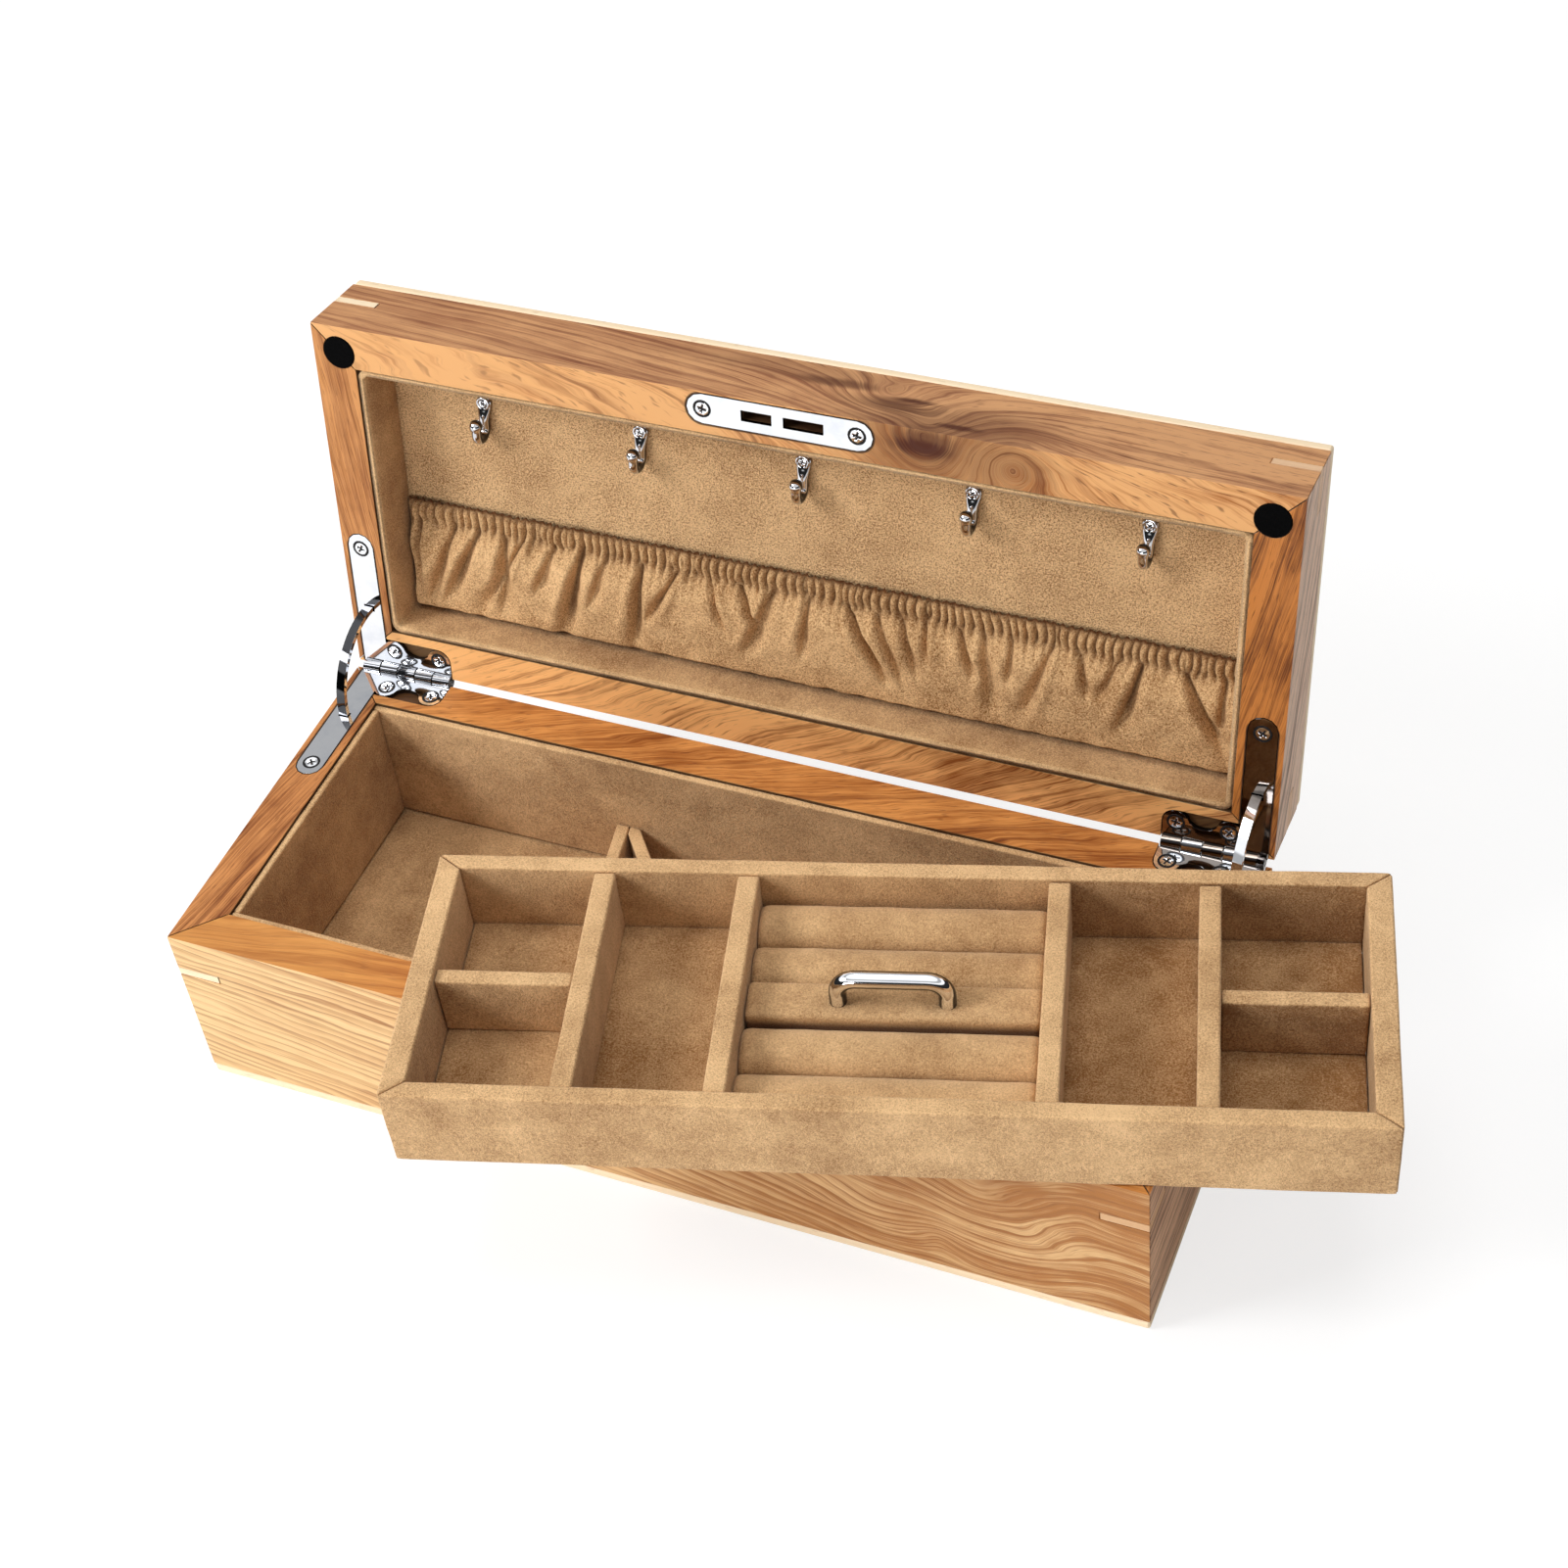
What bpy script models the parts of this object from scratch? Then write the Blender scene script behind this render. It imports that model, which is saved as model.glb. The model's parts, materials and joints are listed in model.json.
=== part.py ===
"""Tiered jewelry box: a mitred wooden box with a hinged lid and a lift-out tray.

Metres, +Z up. The origin is the centre of the box's underside, +X runs along the
front to the right and +Y runs to the back. The lid stands open on its quadrant
stays, and the tray lies askew on the rim.
"""
import math

import bmesh
import bpy
from mathutils import Matrix, Vector

# Driving dimensions
box_length = 0.350
box_depth = 0.1409
rim_height = 0.0732
lid_height = 0.0346
wall = 0.0157
panel = 0.004
tray_height = 0.0329
open_angle = math.radians(99.3)

# Clearances and cuts
seat_gap = 0.0003
mating_gap = 0.0006
tray_clearance = 0.0016
tray_headroom = 0.0003
overrun = 0.002
weld = 0.00001

# Where the hinge axis runs
axis_behind_back = 0.0015
hinge_y = box_depth / 2 + axis_behind_back
hinge_z = rim_height + mating_gap / 2
hinge_axis = Vector((0, hinge_y, hinge_z))

# Levels of the closed lid, and the inside faces of the walls
mating_z = rim_height + mating_gap
rail_top = mating_z + lid_height - panel - seat_gap
inside_x = box_length / 2 - wall
inside_y = box_depth / 2 - wall

# Facets of round pieces
round_sides = 16
arc_steps = 6
wire_rings = 2
smooth_angle = math.radians(40)
crease_angle = math.radians(30)

# Finishes: colour, roughness and metallic value
honey_wood = ((0.52, 0.25, 0.08), 0.42, 0)
pale_maple = ((0.76, 0.55, 0.34), 0.45, 0)
tan_suede = ((0.41, 0.25, 0.13), 0.92, 0)
chrome = ((0.82, 0.83, 0.85), 0.08, 1)
black_felt = ((0.01, 0.01, 0.012), 0.95, 0)

for left_over in list(bpy.data.objects):
    bpy.data.objects.remove(left_over, do_unlink=True)
parts = bpy.data.collections.new("tiered_jewelry_box")
cutters = bpy.data.collections.new("cutters")
bpy.context.scene.collection.children.link(parts)
bpy.context.scene.collection.children.link(cutters)


def make_object(name, mesh, place=(0, 0, 0), turn=(0, 0, 0), owner=None):
    """An object in the parts, or among the cutters, that carries the mesh."""
    thing = bpy.data.objects.new(name, mesh)
    thing.location = place
    thing.rotation_euler = turn
    home = parts
    if owner == cutters:
        home = cutters
        thing.hide_render = True
        thing.display_type = "WIRE"
    home.objects.link(thing)
    return thing


def finish(thing, look, body=None):
    """Gives a piece its own material and hangs it on its moving body."""
    colour, roughness, metallic = look
    material = bpy.data.materials.new(thing.name)
    material.use_nodes = True
    shader = material.node_tree.nodes["Principled BSDF"]
    shader.inputs["Base Color"].default_value = (*colour, 1)
    shader.inputs["Roughness"].default_value = roughness
    shader.inputs["Metallic"].default_value = metallic
    material.diffuse_color = (*colour, 1)
    thing.data.materials.clear()
    thing.data.materials.append(material)
    if body:
        hang(thing, body)
    return thing


def hang(thing, body):
    """Parents a piece, placed as if its body were at the rest frame of its drawing."""
    thing.parent = body
    thing.matrix_parent_inverse = Matrix.Translation(-Vector(body["drawn_at"]))


def body_frame(name, drawn_at, place, turn):
    """An empty that carries a moving body from where it is drawn to where it rests."""
    frame = bpy.data.objects.new(name, None)
    frame["drawn_at"] = tuple(drawn_at)
    frame.location = place
    frame.rotation_euler = turn
    parts.objects.link(frame)
    return frame


def mesh_from(name, work):
    """Turns a bmesh into a mesh whose faces point out."""
    bmesh.ops.recalc_face_normals(work, faces=work.faces)
    mesh = bpy.data.meshes.new(name)
    work.to_mesh(mesh)
    work.free()
    return mesh


def smooth(thing, angle=smooth_angle):
    thing.data.shade_smooth()
    thing.data.set_sharp_from_angle(angle=angle)
    return thing


def block(name, low, high, owner=None):
    """A box between two corners."""
    low = Vector(low)
    high = Vector(high)
    work = bmesh.new()
    bmesh.ops.create_cube(work, size=1, matrix=Matrix.Diagonal((*(high - low), 1)))
    return make_object(name, mesh_from(name, work), (low + high) / 2, owner=owner)


def rod(name, radius, start, end, owner=None, sides=round_sides):
    """A cylinder between two points."""
    start = Vector(start)
    end = Vector(end)
    run = end - start
    turn = run.to_track_quat("Z", "Y").to_euler()
    work = bmesh.new()
    bmesh.ops.create_cone(work, cap_ends=True, segments=sides, radius1=radius, radius2=radius,
                          depth=run.length)
    thing = make_object(name, mesh_from(name, work), (start + end) / 2, turn, owner)
    return smooth(thing)


def curve_to_mesh(curve):
    """The closed mesh that a curve makes, with its caps welded on."""
    maker = bpy.data.objects.new(curve.name, curve)
    bpy.context.scene.collection.objects.link(maker)
    graph = bpy.context.evaluated_depsgraph_get()
    rough = bpy.data.meshes.new_from_object(maker.evaluated_get(graph))
    work = bmesh.new()
    work.from_mesh(rough)
    bmesh.ops.remove_doubles(work, verts=work.verts, dist=weld)
    mesh = mesh_from(curve.name, work)
    bpy.data.objects.remove(maker, do_unlink=True)
    bpy.data.meshes.remove(rough)
    return mesh


turns_along = {"X": (math.pi / 2, 0, math.pi / 2), "Y": (math.pi / 2, 0, 0), "Z": (0, 0, 0)}


def extruded(name, outline, low, high, along="Z", owner=None):
    """A flat outline drawn square to an axis and extruded along it.

    The outline's two coordinates are Y and Z along X, X and Z along Y, X and Y along Z.
    """
    curve = bpy.data.curves.new(name, "CURVE")
    curve.dimensions = "2D"
    curve.fill_mode = "BOTH"
    curve.extrude = (high - low) / 2
    spline = curve.splines.new("POLY")
    spline.points.add(len(outline) - 1)
    for point, (across, up) in zip(spline.points, outline):
        point.co = (across, up, 0, 1)
    spline.use_cyclic_u = True
    middle = (low + high) / 2
    place = {"X": (middle, 0, 0), "Y": (0, middle, 0), "Z": (0, 0, middle)}[along]
    return make_object(name, curve_to_mesh(curve), place, turns_along[along], owner)


def bar(name, route, radius, resolution=wire_rings):
    """A round bar along a route of points."""
    curve = bpy.data.curves.new(name, "CURVE")
    curve.dimensions = "3D"
    curve.bevel_depth = radius
    curve.bevel_resolution = resolution
    curve.use_fill_caps = True
    spline = curve.splines.new("POLY")
    spline.points.add(len(route) - 1)
    for point, place in zip(spline.points, route):
        point.co = (*place, 1)
    return smooth(make_object(name, curve_to_mesh(curve)))


def turned(name, profile, owner=None):
    """A profile of radius and height, top to bottom, turned about Z."""
    mesh = bpy.data.meshes.new(name)
    points = [(radius, 0, height) for radius, height in profile]
    mesh.from_pydata(points, [(i, i + 1) for i in range(len(points) - 1)], [])
    thing = make_object(name, mesh, owner=owner)
    lathe = thing.modifiers.new("Turn", "SCREW")
    lathe.steps = round_sides
    lathe.render_steps = round_sides
    lathe.use_merge_vertices = True
    lathe.merge_threshold = weld
    lathe.use_normal_calculate = True
    return thing


def evaluated_mesh(thing):
    graph = bpy.context.evaluated_depsgraph_get()
    return bpy.data.meshes.new_from_object(thing.evaluated_get(graph))


def copies(name, pattern, places, owner=None):
    """One object that holds a separate solid at each of the places."""
    mesh = evaluated_mesh(pattern)
    bpy.data.objects.remove(pattern, do_unlink=True)
    work = bmesh.new()
    for place in places:
        shifted = mesh.copy()
        shifted.transform(place)
        work.from_mesh(shifted)
        bpy.data.meshes.remove(shifted)
    bpy.data.meshes.remove(mesh)
    return smooth(make_object(name, mesh_from(name, work), owner=owner))


def boolean(thing, other, operation):
    step = thing.modifiers.new(f"{operation.title()} {other.name}", "BOOLEAN")
    step.operation = operation
    step.solver = "EXACT"
    step.object = other


def cut(thing, *tools):
    for tool in tools:
        boolean(thing, tool, "DIFFERENCE")
    return thing


def join(thing, *others):
    """Makes pieces that overlap the first one part of its solid."""
    for other in others:
        parts.objects.unlink(other)
        cutters.objects.link(other)
        other.hide_render = True
        other.display_type = "WIRE"
        boolean(thing, other, "UNION")
    return thing


def soften(thing, width, segments=2, angle=crease_angle):
    """Rounds the sharp edges."""
    edge = thing.modifiers.new("Soft edges", "BEVEL")
    edge.width = width
    edge.segments = segments
    edge.limit_method = "ANGLE"
    edge.angle_limit = angle
    return thing


def arc(centre, radius, start, end, steps=arc_steps):
    """Points on a circle between two angles in degrees, ends included."""
    points = []
    for step in range(steps + 1):
        angle = math.radians(start + (end - start) * step / steps)
        points.append((centre[0] + radius * math.cos(angle), centre[1] + radius * math.sin(angle)))
    return points


def stadium(centre, length, width):
    """A slot outline with round ends, long in X."""
    reach = (length - width) / 2
    right = arc((centre[0] + reach, centre[1]), width / 2, -90, 90)
    left = arc((centre[0] - reach, centre[1]), width / 2, 90, 270)
    return right + left


def rounded_rectangle(half_length, half_depth, radius):
    outline = []
    for quarter, (right, back) in enumerate(((1, 1), (-1, 1), (-1, -1), (1, -1))):
        centre = (right * (half_length - radius), back * (half_depth - radius))
        outline += arc(centre, radius, 90 * quarter, 90 * quarter + 90)
    return outline


def mitred_outlines(half_length, half_depth, end_wall, side_wall):
    """The outlines of four boards that meet in mitres, with a hairline between them."""
    hairline = seat_gap / math.cos(math.atan2(side_wall, end_wall))
    in_x = half_length - end_wall
    in_y = half_depth - side_wall
    outlines = {}
    for name, back in (("front", -1), ("back", 1)):
        outlines[name] = [(-half_length, back * half_depth), (half_length, back * half_depth),
                          (in_x, back * in_y), (-in_x, back * in_y)]
    out_y = half_depth - hairline
    end_y = in_y - hairline
    for name, right in (("left", -1), ("right", 1)):
        outlines[name] = [(right * half_length, -out_y), (right * half_length, out_y),
                          (right * in_x, end_y), (right * in_x, -end_y)]
    return outlines


lid = body_frame("lid_pivot", hinge_axis, hinge_axis, (-open_angle, 0, 0))

# Wood screws with countersunk heads
screw_head = 0.0029
screw_shank = 0.0012
screw_length = 0.0105
head_depth = 0.0013
head_ring = 0.0004
seat_depth = 0.0012
screw_sink = 0.00015


def screw_places(spots, surface, facing):
    """Where screws go on a face that looks up (1) or down (-1)."""
    flip = Matrix.Rotation(math.pi if facing < 0 else 0, 4, "X")
    return [Matrix.Translation((*spot, surface)) @ flip for spot in spots]


def screws_at(name, spots, surface, facing):
    """Countersunk screws, to be joined to the plate that they hold."""
    profile = [(0, -screw_sink), (screw_head, -screw_sink), (screw_shank, -head_depth - screw_sink),
               (screw_shank, -screw_length), (0, -screw_length)]
    return copies(name, turned(f"{name} pattern", profile), screw_places(spots, surface, facing))


def countersinks_at(name, spots, surface, facing):
    """Dished seats round the screw heads of a plate."""
    wide = screw_head + head_ring
    profile = [(0, overrun), (wide, overrun), (wide, 0), (screw_shank, -seat_depth), (0, -seat_depth)]
    return copies(name, turned(f"{name} pattern", profile, cutters), screw_places(spots, surface, facing),
                  cutters)


def screw_holes_at(name, spots, surface, facing):
    """Bores in the wood for the screws' shanks."""
    radius = screw_shank + seat_gap
    bottom = -screw_length - seat_gap
    profile = [(0, overrun), (radius, overrun), (radius, bottom), (0, bottom)]
    return copies(name, turned(f"{name} pattern", profile, cutters), screw_places(spots, surface, facing),
                  cutters)


# Quadrant hinges: L-shaped leaves let into both rims, and a knuckled barrel
leaf_thickness = 0.0018
leaf_inset = 0.0025
arm_width = 0.010
arm_length = 0.0580
arm_screw_inset = 0.0061
leaf_reach = 0.0365
lobe_radius = 0.0046
lobe_spacing = 0.0185
lobe_row = 0.0086
scallop_start = 30
scallop_rise = 0.0012
knuckle_radius = 0.0026
knuckle_gap = 0.0005
pin_radius = 0.0011
barrel_end_inset = 0.0003
knuckles = 5
leaf_outer = box_length / 2 - leaf_inset
leaf_inner = leaf_outer - leaf_reach
arm_inner = leaf_outer - arm_width
arm_middle = leaf_outer - arm_width / 2
arm_tip = hinge_y - arm_length
lobe_y = hinge_y - lobe_row
barrel_start = leaf_inner + barrel_end_inset
barrel_end = leaf_outer - barrel_end_inset
knuckle_pitch = (barrel_end - barrel_start + knuckle_gap) / knuckles
leaf_screw_spots = [(arm_middle, arm_tip + arm_screw_inset),
                    (leaf_inner + lobe_radius, lobe_y),
                    (leaf_inner + lobe_radius + lobe_spacing, lobe_y)]

# Quadrant stays: arcs about the hinge axis that slide in slots of both leaves
stay_radius = 0.0262
stay_thickness = 0.0018
stay_width = 0.0034
stay_head_width = 0.0060
stay_head_length = 0.0020
stay_head_thickness = 0.0024
stay_slot_play = 0.0004
stay_pocket_width = 0.0070
stay_pocket_play = 0.0008
leaf_underside = mating_gap / 2 + leaf_thickness
stay_stop = math.degrees(math.asin((leaf_underside + seat_gap) / stay_radius))
stay_half = math.degrees(open_angle) / 2 + stay_stop + math.degrees(stay_head_length / stay_radius)


def mirrored(outline, side):
    return [(side * x, y) for x, y in outline]


def leaf_outline():
    """A right-hand leaf seen from above: screw lobes, a scallop between them and the long arm."""
    first = leaf_inner + lobe_radius
    second = first + lobe_spacing
    middle = (first + second) / 2
    sink = lobe_radius * math.sin(math.radians(scallop_start))
    half = lobe_spacing / 2 - lobe_radius * math.cos(math.radians(scallop_start))
    rise = sink + scallop_rise
    meet = -math.degrees(math.acos(min(1, (arm_inner - second) / lobe_radius)))
    outline = [(leaf_inner, hinge_y)]
    outline += arc((first, lobe_y), lobe_radius, 180, 360 - scallop_start)
    for step in range(1, arc_steps):
        angle = math.pi * step / arc_steps
        outline.append((middle - half * math.cos(angle), lobe_y - sink + rise * math.sin(angle)))
    outline += arc((second, lobe_y), lobe_radius, 180 + scallop_start, 360 + meet)
    outline += arc((arm_middle, arm_tip + arm_width / 2), arm_width / 2, 180, 360)
    outline.append((leaf_outer, hinge_y))
    return outline


def knuckle_ends(index):
    start = barrel_start + index * knuckle_pitch
    return start, start + knuckle_pitch - knuckle_gap


def hinge_rod(name, radius, side, start, end, owner=None):
    """A cylinder on the hinge axis between two distances from the middle."""
    return rod(name, radius, (side * start, hinge_y, hinge_z), (side * end, hinge_y, hinge_z), owner)


def hinge_leaf(name, side, facing):
    """A leaf under the hinge axis (facing 1, on the box) or over it (facing -1, on the lid).

    Its screws are one with it, and the box's leaf holds the pin.
    """
    surface = rim_height if facing > 0 else mating_z
    other = surface - facing * leaf_thickness
    leaf = extruded(name, mirrored(leaf_outline(), side), min(surface, other), max(surface, other))
    for index in range(knuckles):
        start, end = knuckle_ends(index)
        own = (index % 2 == 1) == (facing > 0)
        if own:
            join(leaf, hinge_rod(f"{name} knuckle {index}", knuckle_radius, side, start, end))
        else:
            room = knuckle_gap - seat_gap / 2
            cut(leaf, hinge_rod(f"{name} room {index}", knuckle_radius + seat_gap, side,
                                start - room, end + room, cutters))
    if facing > 0:
        join(leaf, hinge_rod(f"{name} pin", pin_radius, side, barrel_start, barrel_end))
    else:
        cut(leaf, hinge_rod(f"{name} bore", pin_radius + seat_gap, side, barrel_start - overrun,
                            barrel_end + overrun, cutters))
    spots = mirrored(leaf_screw_spots, side)
    cut(leaf, countersinks_at(f"{name} countersinks", spots, surface, facing))
    join(leaf, screws_at(f"{name} screws", spots, surface, facing))
    half_slot = stay_thickness / 2 + stay_slot_play
    half_width = stay_width / 2 + stay_slot_play
    past = overrun + leaf_thickness
    low = (side * arm_middle - half_width, hinge_y - stay_radius - half_slot, surface - past)
    high = (side * arm_middle + half_width, hinge_y - stay_radius + half_slot, surface + past)
    return cut(leaf, block(f"{name} slot", low, high, cutters))


def hinge_pockets(name, facing):
    """The cuts in a rim for both hinges: leaf recesses, barrel notches and stay pockets."""
    surface = rim_height if facing > 0 else mating_z
    floor = surface - facing * (leaf_thickness + seat_gap)
    low_z, high_z = sorted((floor, surface + facing * overrun))
    deepest = (stay_radius + stay_thickness / 2) * math.sin(math.radians(stay_half)) + stay_pocket_play
    pocket_low, pocket_high = sorted((hinge_z - facing * deepest, surface + facing * overrun))
    nearest = (stay_radius - stay_head_thickness / 2) * math.cos(math.radians(stay_half))
    tools = []
    for side in (-1, 1):
        arm = arc((arm_middle, arm_tip + arm_width / 2), arm_width / 2 + seat_gap, 180, 360)
        arm += [(leaf_outer + seat_gap, hinge_y + overrun), (arm_inner - seat_gap, hinge_y + overrun)]
        tools.append(extruded(f"{name} arm recess", mirrored(arm, side), low_z, high_z, owner=cutters))
        back = arc((leaf_inner + lobe_radius, lobe_y), lobe_radius + seat_gap, 180, 270)
        back += [(arm_middle, lobe_y - lobe_radius - seat_gap), (arm_middle, hinge_y + overrun),
                 (leaf_inner - seat_gap, hinge_y + overrun)]
        tools.append(extruded(f"{name} back recess", mirrored(back, side), low_z, high_z, owner=cutters))
        tools.append(hinge_rod(f"{name} barrel notch", knuckle_radius + 2 * seat_gap, side,
                               barrel_start - knuckle_gap, barrel_end + knuckle_gap, cutters))
        half = stay_pocket_width / 2
        low = (side * arm_middle - half, hinge_y - stay_radius - stay_head_thickness / 2 - stay_pocket_play,
               pocket_low)
        high = (side * arm_middle + half, hinge_y - nearest + stay_pocket_play, pocket_high)
        tools.append(block(f"{name} stay pocket", low, high, cutters))
    return tools


def sector(inner, outer, start, end, steps):
    """A piece of ring about the hinge axis, in Y and Z, from angles up from the front."""
    centre = (hinge_y, hinge_z)
    outline = arc(centre, outer, 180 - start, 180 - end, steps)
    return outline + arc(centre, inner, 180 - end, 180 - start, steps)


def quadrant_stay(name, side):
    """An arc with a T-shaped head at each end, drawn with the lid closed."""
    strip_steps = 20
    head_steps = 2
    head_arc = math.degrees(stay_head_length / stay_radius)
    middle = side * arm_middle
    inner = stay_radius - stay_thickness / 2
    outer = stay_radius + stay_thickness / 2
    strip_half = stay_half - head_arc / 2
    strip = extruded(name, sector(inner, outer, -strip_half, strip_half, strip_steps),
                     middle - stay_width / 2, middle + stay_width / 2, "X")
    head_inner = stay_radius - stay_head_thickness / 2
    head_outer = stay_radius + stay_head_thickness / 2
    for start in (-stay_half, stay_half - head_arc):
        head = extruded(f"{name} head", sector(head_inner, head_outer, start, start + head_arc, head_steps),
                        middle - stay_head_width / 2, middle + stay_head_width / 2, "X")
        join(strip, head)
    return strip


def hinges():
    """Both quadrant hinges with their stays, and what they cut in the rims."""
    spots = [(side * x, y) for side in (-1, 1) for x, y in leaf_screw_spots]
    rims = {}
    for owner, facing, surface, body in (("box", 1, rim_height, None), ("lid", -1, mating_z, lid)):
        holes = screw_holes_at(f"{owner} leaf screw holes", spots, surface, facing)
        pockets = hinge_pockets(owner, facing)
        for side, word in ((-1, "left"), (1, "right")):
            finish(hinge_leaf(f"hinge_leaf_{owner}_{word}", side, facing), chrome, body)
        if body:
            leaf_tools = [m for m in cutters.objects if m.name.startswith("hinge_leaf_lid")]
            for tool in [holes, *pockets, *leaf_tools]:
                hang(tool, body)
        rims[owner] = [holes, *pockets]
    for side, word in ((-1, "left"), (1, "right")):
        pivot = body_frame(f"stay_pivot_{word}", hinge_axis, hinge_axis, (-open_angle / 2, 0, 0))
        stay = quadrant_stay(f"quadrant_stay_{word}", side)
        for head in [m for m in cutters.objects if m.name.startswith(stay.name)]:
            hang(head, pivot)
        finish(stay, chrome, pivot)
    return rims


# Lock in the front wall, and the strike plate that faces it in the lid
plate_length = 0.066
plate_width = 0.011
plate_thickness = 0.0016
plate_edge = 0.0010
plate_screw_inset = 0.0056
short_slot = (-0.0135, -0.0026)
long_slot = (0.0015, 0.0157)
slot_width = 0.004
bolt_play = 0.0006
bolt_thickness = 0.0026
bolt_height = 0.009
bolt_bar_height = 0.003
bolt_drop = 0.0006
case_length = 0.040
case_thickness = 0.0066
case_height = 0.0226
strike_pocket_depth = 0.008
plug_radius = 0.0032
plug_drop = 0.0155
plug_depth = 0.0065
keyway_width = 0.0012
keyway_height = 0.0042
keyway_depth = 0.0045
plate_y = plate_edge + plate_width / 2 - box_depth / 2
plug_z = rim_height - plug_drop
plate_screw_spots = [(side * (plate_length / 2 - plate_screw_inset), plate_y) for side in (-1, 1)]


def slotted_plate(name, surface, facing):
    """The lock's face plate, looking up (1), or the strike plate, looking down (-1)."""
    low, high = sorted((surface, surface - facing * plate_thickness))
    plate = extruded(name, stadium((0, plate_y), plate_length, plate_width), low, high)
    for index, (start, end) in enumerate((short_slot, long_slot)):
        cut(plate, block(f"{name} slot {index}", (start, plate_y - slot_width / 2, low - overrun),
                         (end, plate_y + slot_width / 2, high + overrun), cutters))
    cut(plate, countersinks_at(f"{name} countersinks", plate_screw_spots, surface, facing))
    return join(plate, screws_at(f"{name} screws", plate_screw_spots, surface, facing))


def plate_recess(name, surface, facing):
    floor = surface - facing * (plate_thickness + seat_gap)
    low, high = sorted((floor, surface + facing * overrun))
    outline = stadium((0, plate_y), plate_length + 2 * seat_gap, plate_width + 2 * seat_gap)
    return extruded(name, outline, low, high, owner=cutters)


def lock_and_strike():
    """The lock's pieces, the strike plate and what they cut in the two front rails."""
    box_holes = screw_holes_at("lock screw holes", plate_screw_spots, rim_height, 1)
    lid_holes = screw_holes_at("strike screw holes", plate_screw_spots, mating_z, -1)
    lock = slotted_plate("lock_body", rim_height, 1)
    strike = slotted_plate("strike_plate", mating_z, -1)

    case_top = rim_height - plate_thickness / 2
    case_low = rim_height - case_height
    half_case = case_thickness / 2
    case = block("lock case", (-case_length / 2, plate_y - half_case, case_low),
                 (case_length / 2, plate_y + half_case, case_top))
    bolt_top = rim_height - bolt_drop
    well_half = bolt_thickness / 2 + seat_gap
    well = block("bolt well", (short_slot[0] - seat_gap, plate_y - well_half,
                               bolt_top - bolt_height + bolt_bar_height / 2),
                 (long_slot[1] + seat_gap, plate_y + well_half, case_top + overrun), cutters)
    plug_start = -box_depth / 2 + seat_gap
    plug_end = plug_start + plug_depth
    plug_bore = rod("plug bore", plug_radius + seat_gap, (0, -box_depth / 2 - overrun, plug_z),
                    (0, plug_end + seat_gap, plug_z), cutters)

    short_left = short_slot[0] + bolt_play
    short_right = short_slot[1] - bolt_play
    long_left = long_slot[0] + bolt_play
    long_right = long_slot[1] - bolt_play
    foot = bolt_top - bolt_height
    shoulder = foot + bolt_bar_height
    outline = [(short_left, foot), (long_right, foot), (long_right, bolt_top),
               (long_left, bolt_top), (long_left, shoulder), (short_right, shoulder),
               (short_right, bolt_top), (short_left, bolt_top)]
    bolt = extruded("lock bolt", outline, plate_y - bolt_thickness / 2, plate_y + bolt_thickness / 2, "Y")
    join(lock, cut(case, well, plug_bore), bolt)
    finish(lock, chrome)

    plug = rod("lock_plug", plug_radius, (0, plug_start, plug_z), (0, plug_end, plug_z))
    keyway = block("keyway", (-keyway_width / 2, -box_depth / 2 - overrun, plug_z - keyway_height / 2),
                   (keyway_width / 2, plug_start + keyway_depth, plug_z + keyway_height / 2), cutters)
    finish(cut(plug, keyway), chrome)

    case_pocket = block("case pocket",
                        (-case_length / 2 - seat_gap, plate_y - half_case - seat_gap, case_low - seat_gap),
                        (case_length / 2 + seat_gap, plate_y + half_case + seat_gap, rim_height + overrun),
                        cutters)
    strike_pocket = block("strike pocket", (short_slot[0], plate_y - slot_width / 2, mating_z - overrun),
                          (long_slot[1], plate_y + slot_width / 2, mating_z + strike_pocket_depth), cutters)
    box_tools = [plate_recess("lock plate recess", rim_height, 1), case_pocket, plug_bore, box_holes]
    lid_tools = [plate_recess("strike recess", mating_z, -1), strike_pocket, lid_holes]
    for tool in lid_tools + [m for m in cutters.objects if m.name.startswith("strike_plate")]:
        hang(tool, lid)
    finish(strike, chrome, lid)
    return box_tools, lid_tools


# Pale splines across the mitred corners
key_leg = 0.016
key_thickness = 0.0032
box_key_drop = 0.016
lid_key_rise = 0.017


def corner_triangle(right, back, leg, beyond):
    """The corner of the box cut off by a line across it, taken past the two faces."""
    out_x = right * (box_length / 2 + beyond)
    out_y = back * (box_depth / 2 + beyond)
    far_x = right * (box_length / 2 - leg - beyond)
    far_y = back * (box_depth / 2 - leg - beyond)
    return [(out_x, out_y), (far_x, out_y), (out_x, far_y)]


def corner_keys(prefix, low, body=None):
    """Four triangular splines and the four slots that they lie in."""
    slots = {}
    words = {(-1, -1): "front_left", (1, -1): "front_right", (-1, 1): "back_left", (1, 1): "back_right"}
    for (right, back), word in words.items():
        triangle = corner_triangle(right, back, key_leg, 0)
        key = extruded(f"{prefix}_key_{word}", triangle, low, low + key_thickness)
        finish(key, pale_maple, body)
        outline = corner_triangle(right, back, key_leg + seat_gap * math.sqrt(2), overrun)
        slots[right, back] = extruded(f"{prefix} key slot", outline, low - seat_gap,
                                      low + key_thickness + seat_gap, owner=cutters)
        if body:
            hang(slots[right, back], body)
    return slots


wall_corners = {"front": ((-1, -1), (1, -1)), "back": ((-1, 1), (1, 1)),
                "left": ((-1, -1), (-1, 1)), "right": ((1, -1), (1, 1))}


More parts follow.
